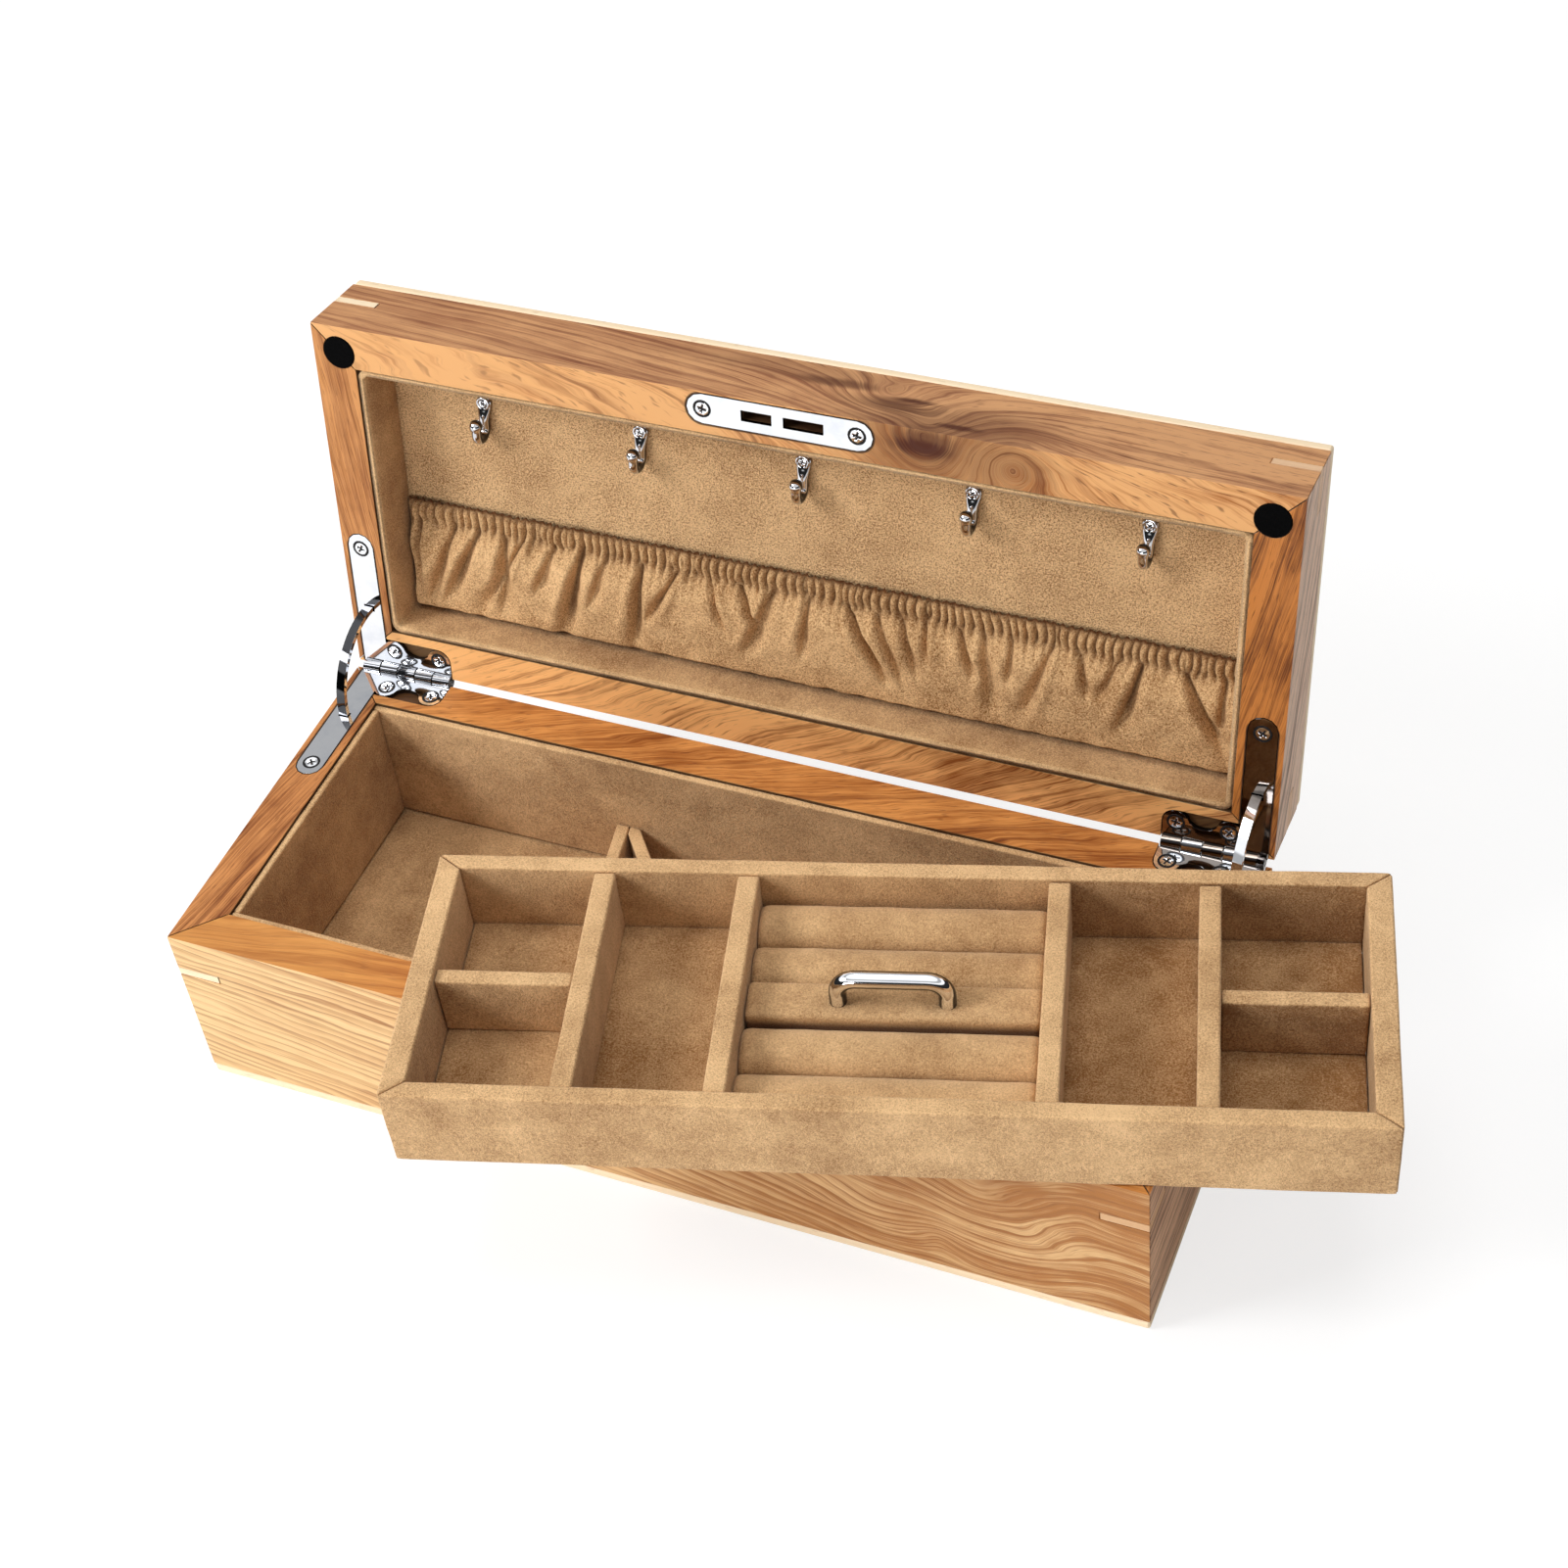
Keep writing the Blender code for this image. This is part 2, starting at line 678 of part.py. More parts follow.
def wooden_frame(prefix, suffix, low, high, slots, tools, body=None):
    """Four mitred boards with the cuts that reach each of them."""
    outlines = mitred_outlines(box_length / 2, box_depth / 2, wall, wall)
    for name, outline in outlines.items():
        board = extruded(f"{prefix}_{name}_{suffix}", outline, low, high)
        cut(board, *[slots[corner] for corner in wall_corners[name]], *tools.get(name, []))
        finish(board, honey_wood, body)


# Pale panels under the box and over the lid
panel_rounding = 0.0009


def outer_panel(name, low, body=None):
    board = block(name, (-box_length / 2, -box_depth / 2, low), (box_length / 2, box_depth / 2, low + panel))
    finish(soften(board, panel_rounding), pale_maple, body)


# Suede-covered linings, floor and partitions of the box
lining = 0.0021
lining_drop = 0.001
floor_board = 0.0152
lining_rounding = 0.0006
partition = 0.0048
lined_x = inside_x - seat_gap - lining
lined_y = inside_y - seat_gap - lining
board_low = panel + seat_gap
floor_top = board_low + floor_board
partition_top = rim_height - tray_height - tray_headroom
left_rear_share = -0.1765
slanted_rear_share = -0.1655
right_share = 0.2
left_slant = math.radians(10)
slanted_slant = math.radians(38.7)


def slanted_outline(rear_share, slant, thickness):
    """A partition from lining to lining that slants to the right as it comes forward."""
    rear_x = rear_share * box_length
    reach = lined_y - seat_gap
    middle_x = rear_x + reach * math.tan(slant)
    front_x = middle_x + reach * math.tan(slant)
    half = thickness / 2 / math.cos(slant)
    return [(rear_x - half, reach), (rear_x + half, reach),
            (front_x + half, -reach), (front_x - half, -reach)]


def box_inside():
    floor_x = inside_x - seat_gap
    floor_y = inside_y - seat_gap
    pad = block("box_floor_board", (-floor_x, -floor_y, board_low), (floor_x, floor_y, floor_top))
    finish(soften(pad, lining_rounding), tan_suede)
    low = floor_top + seat_gap
    high = rim_height - lining_drop
    for word, back in (("front", -1), ("back", 1)):
        near, far = sorted((back * lined_y, back * floor_y))
        strip = block(f"box_lining_{word}", (-floor_x, near, low), (floor_x, far, high))
        finish(soften(strip, lining_rounding), tan_suede)
    end_y = lined_y - seat_gap
    for word, right in (("left", -1), ("right", 1)):
        near, far = sorted((right * lined_x, right * floor_x))
        strip = block(f"box_lining_{word}", (near, -end_y, low), (far, end_y, high))
        finish(soften(strip, lining_rounding), tan_suede)
    for word, share, slant in (("left", left_rear_share, left_slant),
                               ("slanted", slanted_rear_share, slanted_slant),
                               ("right", right_share, 0)):
        outline = slanted_outline(share, slant, partition)
        board = extruded(f"box_partition_{word}", outline, low, partition_top)
        if word == "slanted":
            room = slanted_outline(left_rear_share, left_slant, partition + 2 * seat_gap)
            room_tool = extruded("partition room", [(x, y * (1 + seat_gap / lined_y)) for x, y in room],
                                 low - overrun, partition_top + overrun, owner=cutters)
            cut(board, room_tool)
        finish(soften(board, lining_rounding), tan_suede)


# Lining and back pad of the lid, its bumpers
lid_recess = 0.0205
lid_lining_radius = 0.0014
bumper_radius = 0.0059
bumper_inset = 0.010
bumper_thickness = 0.002
bumper_proud = 0.0003
bumper_sides = 24
pad_face = mating_z + lid_recess


def lid_bumpers():
    """Soft discs in the lid's front corners, and the bores that they sit in."""
    bores = []
    for side, word in ((-1, "left"), (1, "right")):
        spot = (side * (box_length / 2 - bumper_inset), bumper_inset - box_depth / 2)
        top = mating_z - bumper_proud + bumper_thickness
        disc = rod(f"lid_bumper_{word}", bumper_radius, (*spot, mating_z - bumper_proud), (*spot, top),
                   sides=bumper_sides)
        finish(disc, black_felt, lid)
        bores.append(rod("bumper bore", bumper_radius + seat_gap, (*spot, mating_z - overrun),
                         (*spot, top + seat_gap), cutters, bumper_sides))
        hang(bores[-1], lid)
    return bores


def lid_inside():
    """The lid's back pad, and one lining strip bent round inside the rails."""
    pad_x = inside_x - seat_gap
    pad_y = inside_y - seat_gap
    pad = block("lid_back_pad", (-pad_x, -pad_y, pad_face), (pad_x, pad_y, rail_top))
    strip = extruded("lid_lining", rounded_rectangle(pad_x, pad_y, lid_lining_radius + lining),
                     mating_z + lining_drop, pad_face - seat_gap)
    hollow = extruded("lid lining hollow", rounded_rectangle(pad_x - lining, pad_y - lining,
                                                             lid_lining_radius),
                      mating_z - overrun, pad_face + overrun, owner=cutters)
    hang(hollow, lid)
    finish(cut(strip, hollow), tan_suede, lid)
    return pad


# Necklace hooks on the lid's back pad
hook_count = 5
hook_pitch_share = 0.173
hook_eye_y = -0.0385
hook_width = 0.0056
hook_length = 0.0166
hook_plate = 0.0012
hook_wire = 0.0015
hook_reach = 0.0088
hook_prong = 0.0082
hook_ball = 0.0020
hook_bend_steps = 8
ball_sides = 10
ball_rows = 7
hook_screw_head = 0.0018
hook_screw_shank = 0.0008
hook_screw_length = 0.0065
hook_head_height = 0.0009
hook_shoulder_share = 0.35


def hook_screw(name, middle):
    """A round-headed screw that looks down from the hook's eye."""
    profile = [(0, hook_head_height), (hook_screw_head / 2, hook_head_height),
               (hook_screw_head, hook_head_height * hook_shoulder_share), (hook_screw_head, -hook_plate / 2),
               (hook_screw_shank, -hook_plate / 2), (hook_screw_shank, -hook_screw_length),
               (0, -hook_screw_length)]
    screw = turned(name, profile)
    screw.location = (middle, hook_eye_y, pad_face - seat_gap - hook_plate)
    screw.rotation_euler = (math.pi, 0, 0)
    return screw


def necklace_hook(name, middle):
    """A tongue with a screw eye, and a J-shaped prong with a ball on its tip."""
    back = pad_face - seat_gap
    front = back - hook_plate
    foot = hook_eye_y - hook_width / 2 + hook_length
    eye = (middle, hook_eye_y)
    tongue = arc(eye, hook_width / 2, 180, 360)
    tongue += arc((middle, foot - hook_width / 2), hook_width / 2, 0, 180)
    hook = extruded(name, tongue, front, back)
    wire_back = back - hook_plate / 2 - hook_wire
    wire_front = back - hook_reach + hook_wire
    bend = (wire_back - wire_front) / 2
    bend_y = foot - hook_wire - bend
    route = [(middle, bend_y - hook_width, wire_back)]
    curl = arc((bend_y, wire_front + bend), bend, 90, -90, hook_bend_steps)
    route += [(middle, y, z) for y, z in curl]
    tip = (middle, bend_y - hook_prong + hook_ball, wire_front)
    route.append(tip)
    wire = bar(f"{name} wire", route, hook_wire)
    work = bmesh.new()
    bmesh.ops.create_uvsphere(work, u_segments=ball_sides, v_segments=ball_rows, radius=hook_ball)
    ball = make_object(f"{name} ball", mesh_from("ball", work), tip)
    return join(hook, wire, ball, hook_screw(f"{name} screw", middle))


def necklace_hooks(pad):
    middles = [(index - (hook_count - 1) / 2) * hook_pitch_share * box_length for index in range(hook_count)]
    for index, middle in enumerate(middles):
        hook = necklace_hook(f"necklace_hook_{index + 1}", middle)
        hole = rod("hook screw hole", hook_screw_shank + seat_gap, (middle, hook_eye_y, pad_face - overrun),
                   (middle, hook_eye_y, pad_face - hook_plate + hook_screw_length + seat_gap), cutters)
        cut(pad, hole)
        hang(hole, lid)
        for piece in [m for m in cutters.objects if m.name.startswith(hook.name)]:
            hang(piece, lid)
        finish(hook, chrome, lid)
    finish(pad, tan_suede, lid)


# Gathered pocket across the lower half of the lid
pocket_mouth_y = 0.006
pocket_band = 0.0075
pocket_rim = 0.0030
pocket_belly = 0.0062
pocket_foot = 0.0040
fold_depth = 0.0021
fold_width = 0.0235
gather_share = 0.2
gathers_to_a_fold = 3
slant_width = 0.061
pocket_columns = 72
pocket_rows = 7


def pocket_thickness(x, down):
    """How far the cloth stands off the pad, down from 0 at the mouth to 1 at the foot."""
    drawn = pocket_band / (lined_y - pocket_mouth_y)
    below = max(0, (down - drawn) / (1 - drawn))
    lean = below * math.sin(math.tau * x / slant_width)
    phase = math.tau * x / fold_width + lean + math.sin(math.tau * x / (slant_width * math.sqrt(2)))
    swell = math.sin(math.pi * min(1, below * math.sqrt(2)) / 2)
    belly = pocket_rim + (pocket_belly - pocket_rim) * swell
    belly += (pocket_foot - pocket_belly) * below ** 3
    folds = fold_depth * math.sin(phase) * (1 - (1 - below) ** 2)
    gathers = fold_depth * gather_share * math.sin(phase * gathers_to_a_fold) * (1 - below)
    return belly + folds + gathers


def gathered_pocket():
    """Cloth drawn in at its mouth and falling in folds, flat where it lies on the pad."""
    room = lid_lining_radius - (lid_lining_radius - seat_gap) / math.sqrt(2)
    half = lined_x - room
    low_y = pocket_mouth_y
    high_y = lined_y - room
    back = pad_face - seat_gap
    work = bmesh.new()
    bmesh.ops.create_grid(work, x_segments=pocket_columns, y_segments=pocket_rows, size=1)
    for vert in work.verts:
        down = (vert.co.y + 1) / 2
        x = vert.co.x * half
        vert.co = (x, low_y + (high_y - low_y) * down, back - pocket_thickness(x, down))
    grown = bmesh.ops.extrude_face_region(work, geom=work.faces[:])
    for vert in [item for item in grown["geom"] if isinstance(item, bmesh.types.BMVert)]:
        vert.co.z = back
    cloth = make_object("gathered_pocket", mesh_from("gathered_pocket", work))
    finish(smooth(cloth), tan_suede, lid)


# The lift-out tray: suede-covered boards, partitions, ring rolls and a handle
tray_side_wall = 0.006
tray_end_wall = 0.008
tray_floor_thickness = 0.0064
tray_partition = 0.007
tray_partition_drop = 0.0008
outer_bay_share = 0.317
inner_bay_share = 0.163
cross_partition = 0.0055
cross_drop = 0.0023
tray_rounding = 0.0008
handle_block_width = 0.0147
roll_steps = 10
roll_crest_drop = 0.0095
block_drop = 0.0092
block_rounding = 0.0015
handle_radius = 0.0030
handle_span = 0.0345
handle_bend = 0.0062
handle_rise = 0.0008
bend_steps = 4
handle_rings = 3
tray_place_shares = (0.2349, -0.2867)
tray_yaw = math.radians(15.52)
tray_x = lined_x - tray_clearance
tray_y = lined_y - tray_clearance
bay_floor = tray_floor_thickness
tray_place = (tray_place_shares[0] * box_length, tray_place_shares[1] * box_depth, rim_height + seat_gap)
tray = body_frame("tray_frame", (0, 0, 0), tray_place, (0, 0, tray_yaw))


def tray_shell():
    """The four walls, mitred at the corners, round a thick floor."""
    outlines = mitred_outlines(tray_x, tray_y, tray_end_wall, tray_side_wall)
    for name, outline in outlines.items():
        board = extruded(f"tray_{name}_wall", outline, 0, tray_height)
        finish(soften(board, tray_rounding), tan_suede, tray)
    half_x = tray_x - tray_end_wall - seat_gap
    half_y = tray_y - tray_side_wall - seat_gap
    return block("tray_floor", (-half_x, -half_y, 0), (half_x, half_y, tray_floor_thickness))


def tray_partitions():
    half = tray_partition / 2
    reach = tray_y - tray_side_wall - seat_gap
    low = bay_floor + seat_gap
    middles = [side * share * 2 * tray_x for share in (outer_bay_share, inner_bay_share) for side in (-1, 1)]
    for index, middle in enumerate(sorted(middles)):
        board = block(f"tray_partition_{index + 1}", (middle - half, -reach, low),
                      (middle + half, reach, tray_height - tray_partition_drop))
        finish(soften(board, tray_rounding), tan_suede, tray)
    outer = 2 * outer_bay_share * tray_x + half + seat_gap
    inside = tray_x - tray_end_wall - seat_gap
    for side, word in ((-1, "left"), (1, "right")):
        near, far = sorted((side * outer, side * inside))
        board = block(f"tray_cross_partition_{word}", (near, -cross_partition / 2, low),
                      (far, cross_partition / 2, tray_height - cross_drop))
        finish(soften(board, tray_rounding), tan_suede, tray)


def ring_rolls(stud_holes):
    """Two cushions of two round-topped rolls, and between them the handle's flat-topped block."""
    half_x = 2 * inner_bay_share * tray_x - tray_partition / 2 - seat_gap
    reach = tray_y - tray_side_wall - seat_gap
    low = bay_floor + seat_gap
    crest = tray_height - roll_crest_drop
    half_block = handle_block_width / 2
    middle_block = block("handle_block", (-half_x, -half_block, low),
                         (half_x, half_block, tray_height - block_drop))
    finish(cut(soften(middle_block, block_rounding), stud_holes), tan_suede, tray)
    width = (reach - half_block - seat_gap) / 2
    spring = crest - width / 2
    for word, start in (("front", -reach), ("back", half_block + seat_gap)):
        outline = [(start, low), (start + 2 * width, low)]
        outline += arc((start + 3 * width / 2, spring), width / 2, 0, 180, roll_steps)
        outline += arc((start + width / 2, spring), width / 2, 0, 180, roll_steps)[1:]
        finish(extruded(f"ring_rolls_{word}", outline, -half_x, half_x, "X"), tan_suede, tray)


def handle_studs(name, clearance, owner=None):
    """The two screws that hold the handle from below, or the holes that they pass through."""
    length = tray_height - block_drop + handle_radius
    bottom = -overrun if clearance else seat_gap
    head = screw_head + clearance
    shank = screw_shank + clearance
    profile = [(0, length), (shank, length), (shank, head_depth), (head, seat_gap)]
    if clearance:
        profile.append((head, bottom))
    profile.append((0, bottom))
    places = [Matrix.Translation((side * handle_span / 2, 0, 0)) for side in (-1, 1)]
    return copies(name, turned(f"{name} pattern", profile, owner), places, owner)


def tray_handle():
    """A round bar bent down at both ends, one with its screws."""
    half = handle_span / 2
    top = tray_height + handle_rise
    foot = tray_height - block_drop + seat_gap
    bends = arc((-half + handle_bend, top - handle_bend), handle_bend, 180, 90, bend_steps)
    bends += arc((half - handle_bend, top - handle_bend), handle_bend, 90, 0, bend_steps)
    route = [(-half, 0, foot), *[(x, 0, z) for x, z in bends], (half, 0, foot)]
    handle = bar("tray_handle", route, handle_radius, handle_rings)
    studs = handle_studs("handle studs", 0)
    join(handle, studs)
    hang(studs, tray)
    finish(handle, chrome, tray)


def lift_out_tray():
    stud_holes = handle_studs("handle stud holes", seat_gap, cutters)
    finish(cut(tray_shell(), stud_holes), tan_suede, tray)
    hang(stud_holes, tray)
    tray_partitions()
    ring_rolls(stud_holes)
    tray_handle()


def wooden_case():
    """Box walls, lid rails, panels and splines, with all that is cut in them."""
    rims = hinges()
    lock_tools, strike_tools = lock_and_strike()
    bumper_bores = lid_bumpers()
    box_slots = corner_keys("box", rim_height - box_key_drop - key_thickness)
    lid_slots = corner_keys("lid", mating_z + lid_key_rise, lid)
    box_tools = {"front": lock_tools, "back": rims["box"], "left": rims["box"], "right": rims["box"]}
    lid_tools = {"front": strike_tools + bumper_bores, "back": rims["lid"],
                 "left": rims["lid"] + bumper_bores, "right": rims["lid"] + bumper_bores}
    wooden_frame("box", "wall", panel + seat_gap, rim_height, box_slots, box_tools)
    wooden_frame("lid", "rail", mating_z, rail_top, lid_slots, lid_tools, lid)
    outer_panel("box_base_panel", 0)
    outer_panel("lid_top_panel", rail_top + seat_gap, lid)


wooden_case()
box_inside()
necklace_hooks(lid_inside())
gathered_pocket()
lift_out_tray()
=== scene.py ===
import json
import math
import random

import bmesh
import bpy
from mathutils import Matrix, Vector, noise

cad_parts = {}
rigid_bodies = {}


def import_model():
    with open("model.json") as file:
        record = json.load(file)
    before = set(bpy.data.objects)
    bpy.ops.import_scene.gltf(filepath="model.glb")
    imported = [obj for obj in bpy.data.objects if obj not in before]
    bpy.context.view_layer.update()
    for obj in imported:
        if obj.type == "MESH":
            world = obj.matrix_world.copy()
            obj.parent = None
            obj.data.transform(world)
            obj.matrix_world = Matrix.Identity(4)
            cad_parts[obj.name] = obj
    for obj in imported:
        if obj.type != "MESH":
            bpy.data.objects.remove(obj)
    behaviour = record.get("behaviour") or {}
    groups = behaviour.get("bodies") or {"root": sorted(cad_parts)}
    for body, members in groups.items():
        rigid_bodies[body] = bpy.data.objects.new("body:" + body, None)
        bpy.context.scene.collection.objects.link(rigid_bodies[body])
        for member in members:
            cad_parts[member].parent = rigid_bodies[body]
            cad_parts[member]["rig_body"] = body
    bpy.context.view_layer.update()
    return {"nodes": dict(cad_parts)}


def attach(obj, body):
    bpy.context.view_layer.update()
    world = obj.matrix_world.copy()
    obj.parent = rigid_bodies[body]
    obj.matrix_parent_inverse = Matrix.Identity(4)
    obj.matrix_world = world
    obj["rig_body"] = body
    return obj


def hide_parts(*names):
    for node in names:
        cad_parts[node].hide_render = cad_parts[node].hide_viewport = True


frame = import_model()

# The four walls of the box. Each is a board of golden hardwood, mitred at the
# corners, with its annual rings running along it, planed, waxed and eased by hand
# along every edge.
open_angle = math.radians(99.3)
parting_level = 0.0735
hinge_axis = Vector((0, 0.07195, parting_level))
upright = Matrix.Identity(3)
lid_upright = Matrix.Rotation(open_angle, 3, "X")
lid_shift = hinge_axis - lid_upright @ hinge_axis
edge_easing = 0.0004
weld_reach = 0.00001
rim_outer, rim_inner = (0.1746, 0.0700), (0.1600, 0.0555)
behind_leaves = (0.0655, 0.0670)
cut_floor = (0.0004, 0.0007)
gap_width = (0.0005, 0.0009)
line_blur = 0.0002
arm_x, arm_front, arm_radius = 0.1675, 0.02005, 0.0050


class Value:
    """A shader output that takes part in sums, as a number would."""

    def __init__(self, finish, socket):
        self.finish = finish
        self.socket = socket

    def worked(self, operation, first, second=0.0):
        return self.finish.node("ShaderNodeMath", {"operation": operation}, {0: first, 1: second})

    def __add__(self, other):
        return self.worked("ADD", self, other)

    def __sub__(self, other):
        return self.worked("SUBTRACT", self, other)

    def __rsub__(self, other):
        return self.worked("SUBTRACT", other, self)

    def __mul__(self, other):
        return self.worked("MULTIPLY", self, other)

    def __truediv__(self, other):
        return self.worked("DIVIDE", self, other)

    def __rtruediv__(self, other):
        return self.worked("DIVIDE", other, self)

    def __pow__(self, other):
        return self.worked("POWER", self, other)

    def __rpow__(self, other):
        return self.worked("POWER", other, self)

    def __abs__(self):
        return self.worked("ABSOLUTE", self)

    __radd__ = __add__
    __rmul__ = __mul__

    def larger(self, other):
        return self.worked("MAXIMUM", self, other)

    def smaller(self, other):
        return self.worked("MINIMUM", self, other)

    def between(self, low, high):
        """0 at or below low, 1 at or above high, and smooth between them."""
        settings = {"interpolation_type": "SMOOTHSTEP"}
        return self.finish.node("ShaderNodeMapRange", settings, {"Value": self, 1: low, 2: high})


class Finish:
    """A material or a world under construction, with the maths that feeds its shader."""

    def __init__(self, name, world=None, **constants):
        self.material = world or bpy.data.materials.new(name.replace("_", " "))
        self.material.use_nodes = True
        self.tree = self.material.node_tree
        self.shader = self.tree.nodes["Background" if world else "Principled BSDF"]
        self.wear(**constants)

    def feed(self, socket, value):
        if isinstance(value, Value):
            self.tree.links.new(value.socket, socket)
        else:
            socket.default_value = value

    def node(self, kind, settings, inputs, output=0):
        made = self.tree.nodes.new(kind)
        for setting, value in settings.items():
            setattr(made, setting, value)
        for socket, value in inputs.items():
            self.feed(made.inputs[socket], value)
        return Value(self, made.outputs[output])

    def axes(self, turn=upright, pivot=Vector()):
        """Position in metres on each axis of the piece, once it is turned about a pivot."""
        where = self.node("ShaderNodeTexCoord", {}, {}, "Object")
        place = {"Vector": where, "Location": pivot - turn @ pivot, "Rotation": turn.to_euler()}
        return self.parted(self.node("ShaderNodeMapping", {}, place))

    def facing(self, turn=upright):
        """How far the surface looks along each of the same turned axes."""
        looks = self.node("ShaderNodeTexCoord", {}, {}, "Normal")
        place = {"Vector": looks, "Rotation": turn.to_euler()}
        return self.parted(self.node("ShaderNodeMapping", {"vector_type": "NORMAL"}, place))

    def parted(self, vector):
        return [self.node("ShaderNodeSeparateXYZ", {}, {0: vector}, axis) for axis in range(3)]

    def point(self, x, y, z):
        return self.node("ShaderNodeCombineXYZ", {}, {0: x, 1: y, 2: z})

    def cloud(self, x, y, z, detail=2.0, roughness=0.5):
        """Soft noise from 0 to 1, one lump to each unit of the three values."""
        sockets = {"Vector": self.point(x, y, z), "Scale": 1.0, "Detail": detail, "Roughness": roughness}
        return self.node("ShaderNodeTexNoise", {}, sockets)

    def mixed(self, share, first, second):
        return self.node("ShaderNodeMix", {"data_type": "RGBA"}, {0: share, 6: first, 7: second}, 2)

    def raised(self, height, depth, strength=1.0):
        bump = {"Height": height, "Distance": depth, "Strength": strength}
        return self.node("ShaderNodeBump", {}, bump)

    def wear(self, **sockets):
        for socket, value in sockets.items():
            self.feed(self.shader.inputs[socket.replace("_", " ")], value)
        return self.material


def local_box(name, turn):
    """Lowest and highest corners of a CAD piece along its own turned axes."""
    spots = [turn @ vert.co for vert in frame["nodes"][name].data.vertices]
    return [Vector(pick(spot[axis] for spot in spots) for axis in range(3)) for pick in (min, max)]


def tone(red, green, blue):
    """A colour as a screen shows it, from 0 to 255, turned into light."""
    shown = (red / 255, green / 255, blue / 255)
    return (*[c / 12.92 if c <= 0.04045 else ((c + 0.055) / 1.055) ** 2.4 for c in shown], 1)


def altered(piece, name, kind, **settings):
    """Adds a modifier with its settings to a piece."""
    change = piece.modifiers.new(name, kind)
    for setting, value in settings.items():
        setattr(change, setting, value)


def dress(name, material, easing=edge_easing, steps=2, crisp=False):
    """Gives a CAD piece its finish and takes the sharpness off its edges.

    Crisp edges, those of plates and rods, keep a plain chamfer that catches the light.
    """
    piece = frame["nodes"][name]
    piece.data.materials.clear()
    piece.data.materials.append(material)
    altered(piece, "Whole skin", "WELD", merge_threshold=weld_reach)
    altered(piece, "Eased edges", "BEVEL", width=easing, segments=steps, limit_method="ANGLE",
            angle_limit=math.radians(35))
    if crisp:
        altered(piece, "Crisp edges", "EDGE_SPLIT", split_angle=math.radians(30))
    altered(piece, "Even shine", "WEIGHTED_NORMAL", keep_sharp=False)


plate_low, plate_high = local_box("strike_plate", lid_upright)
plate_radius = (plate_high.y - plate_low.y) / 2
plate_y = ((plate_low + plate_high) / 2 + lid_shift).y
let_in = [(arm_x, arm_x, arm_front, rim_outer[1], arm_radius),
          (0, plate_high.x - plate_radius, plate_y, plate_y, plate_radius)]
# The second brown is painted shade for the cuts and gaps round the metal.
knot_brown, cut_shade_brown = tone(72, 28, 10), tone(30, 16, 9)


def painted_cut_shade(x, y, z, up, flat):
    """How much painted shade darkens a rim in the cuts for its metal, and in the thin gap round each plate.

    A plate is let in between two places on X and two on Y, with a radius all round them.
    """
    side, depth = abs(x), abs(y)
    within = (rim_outer[0] - side).between(0, line_blur) * (rim_outer[1] - depth).between(0, line_blur)
    on_rim = (side - rim_inner[0]).larger(depth - rim_inner[1]).between(0, line_blur)
    walls = (1 - (up * up).between(0.5, 0.97)) * 0.75 * on_rim
    floors = abs(z - parting_level).between(*cut_floor) * 0.85 * (1 - y.between(*behind_leaves) * 0.8)
    dark = walls.larger(floors)
    for low_x, high_x, low_y, high_y, radius in let_in:
        past = side - side.larger(low_x).smaller(high_x)
        beyond = y - y.larger(low_y).smaller(high_y)
        away = (past ** 2 + beyond ** 2) ** 0.5 - radius
        gap = away.between(-line_blur, 0) * (1 - away.between(*gap_width))
        dark = dark.larger(gap * flat * 0.85)
    return within * dark


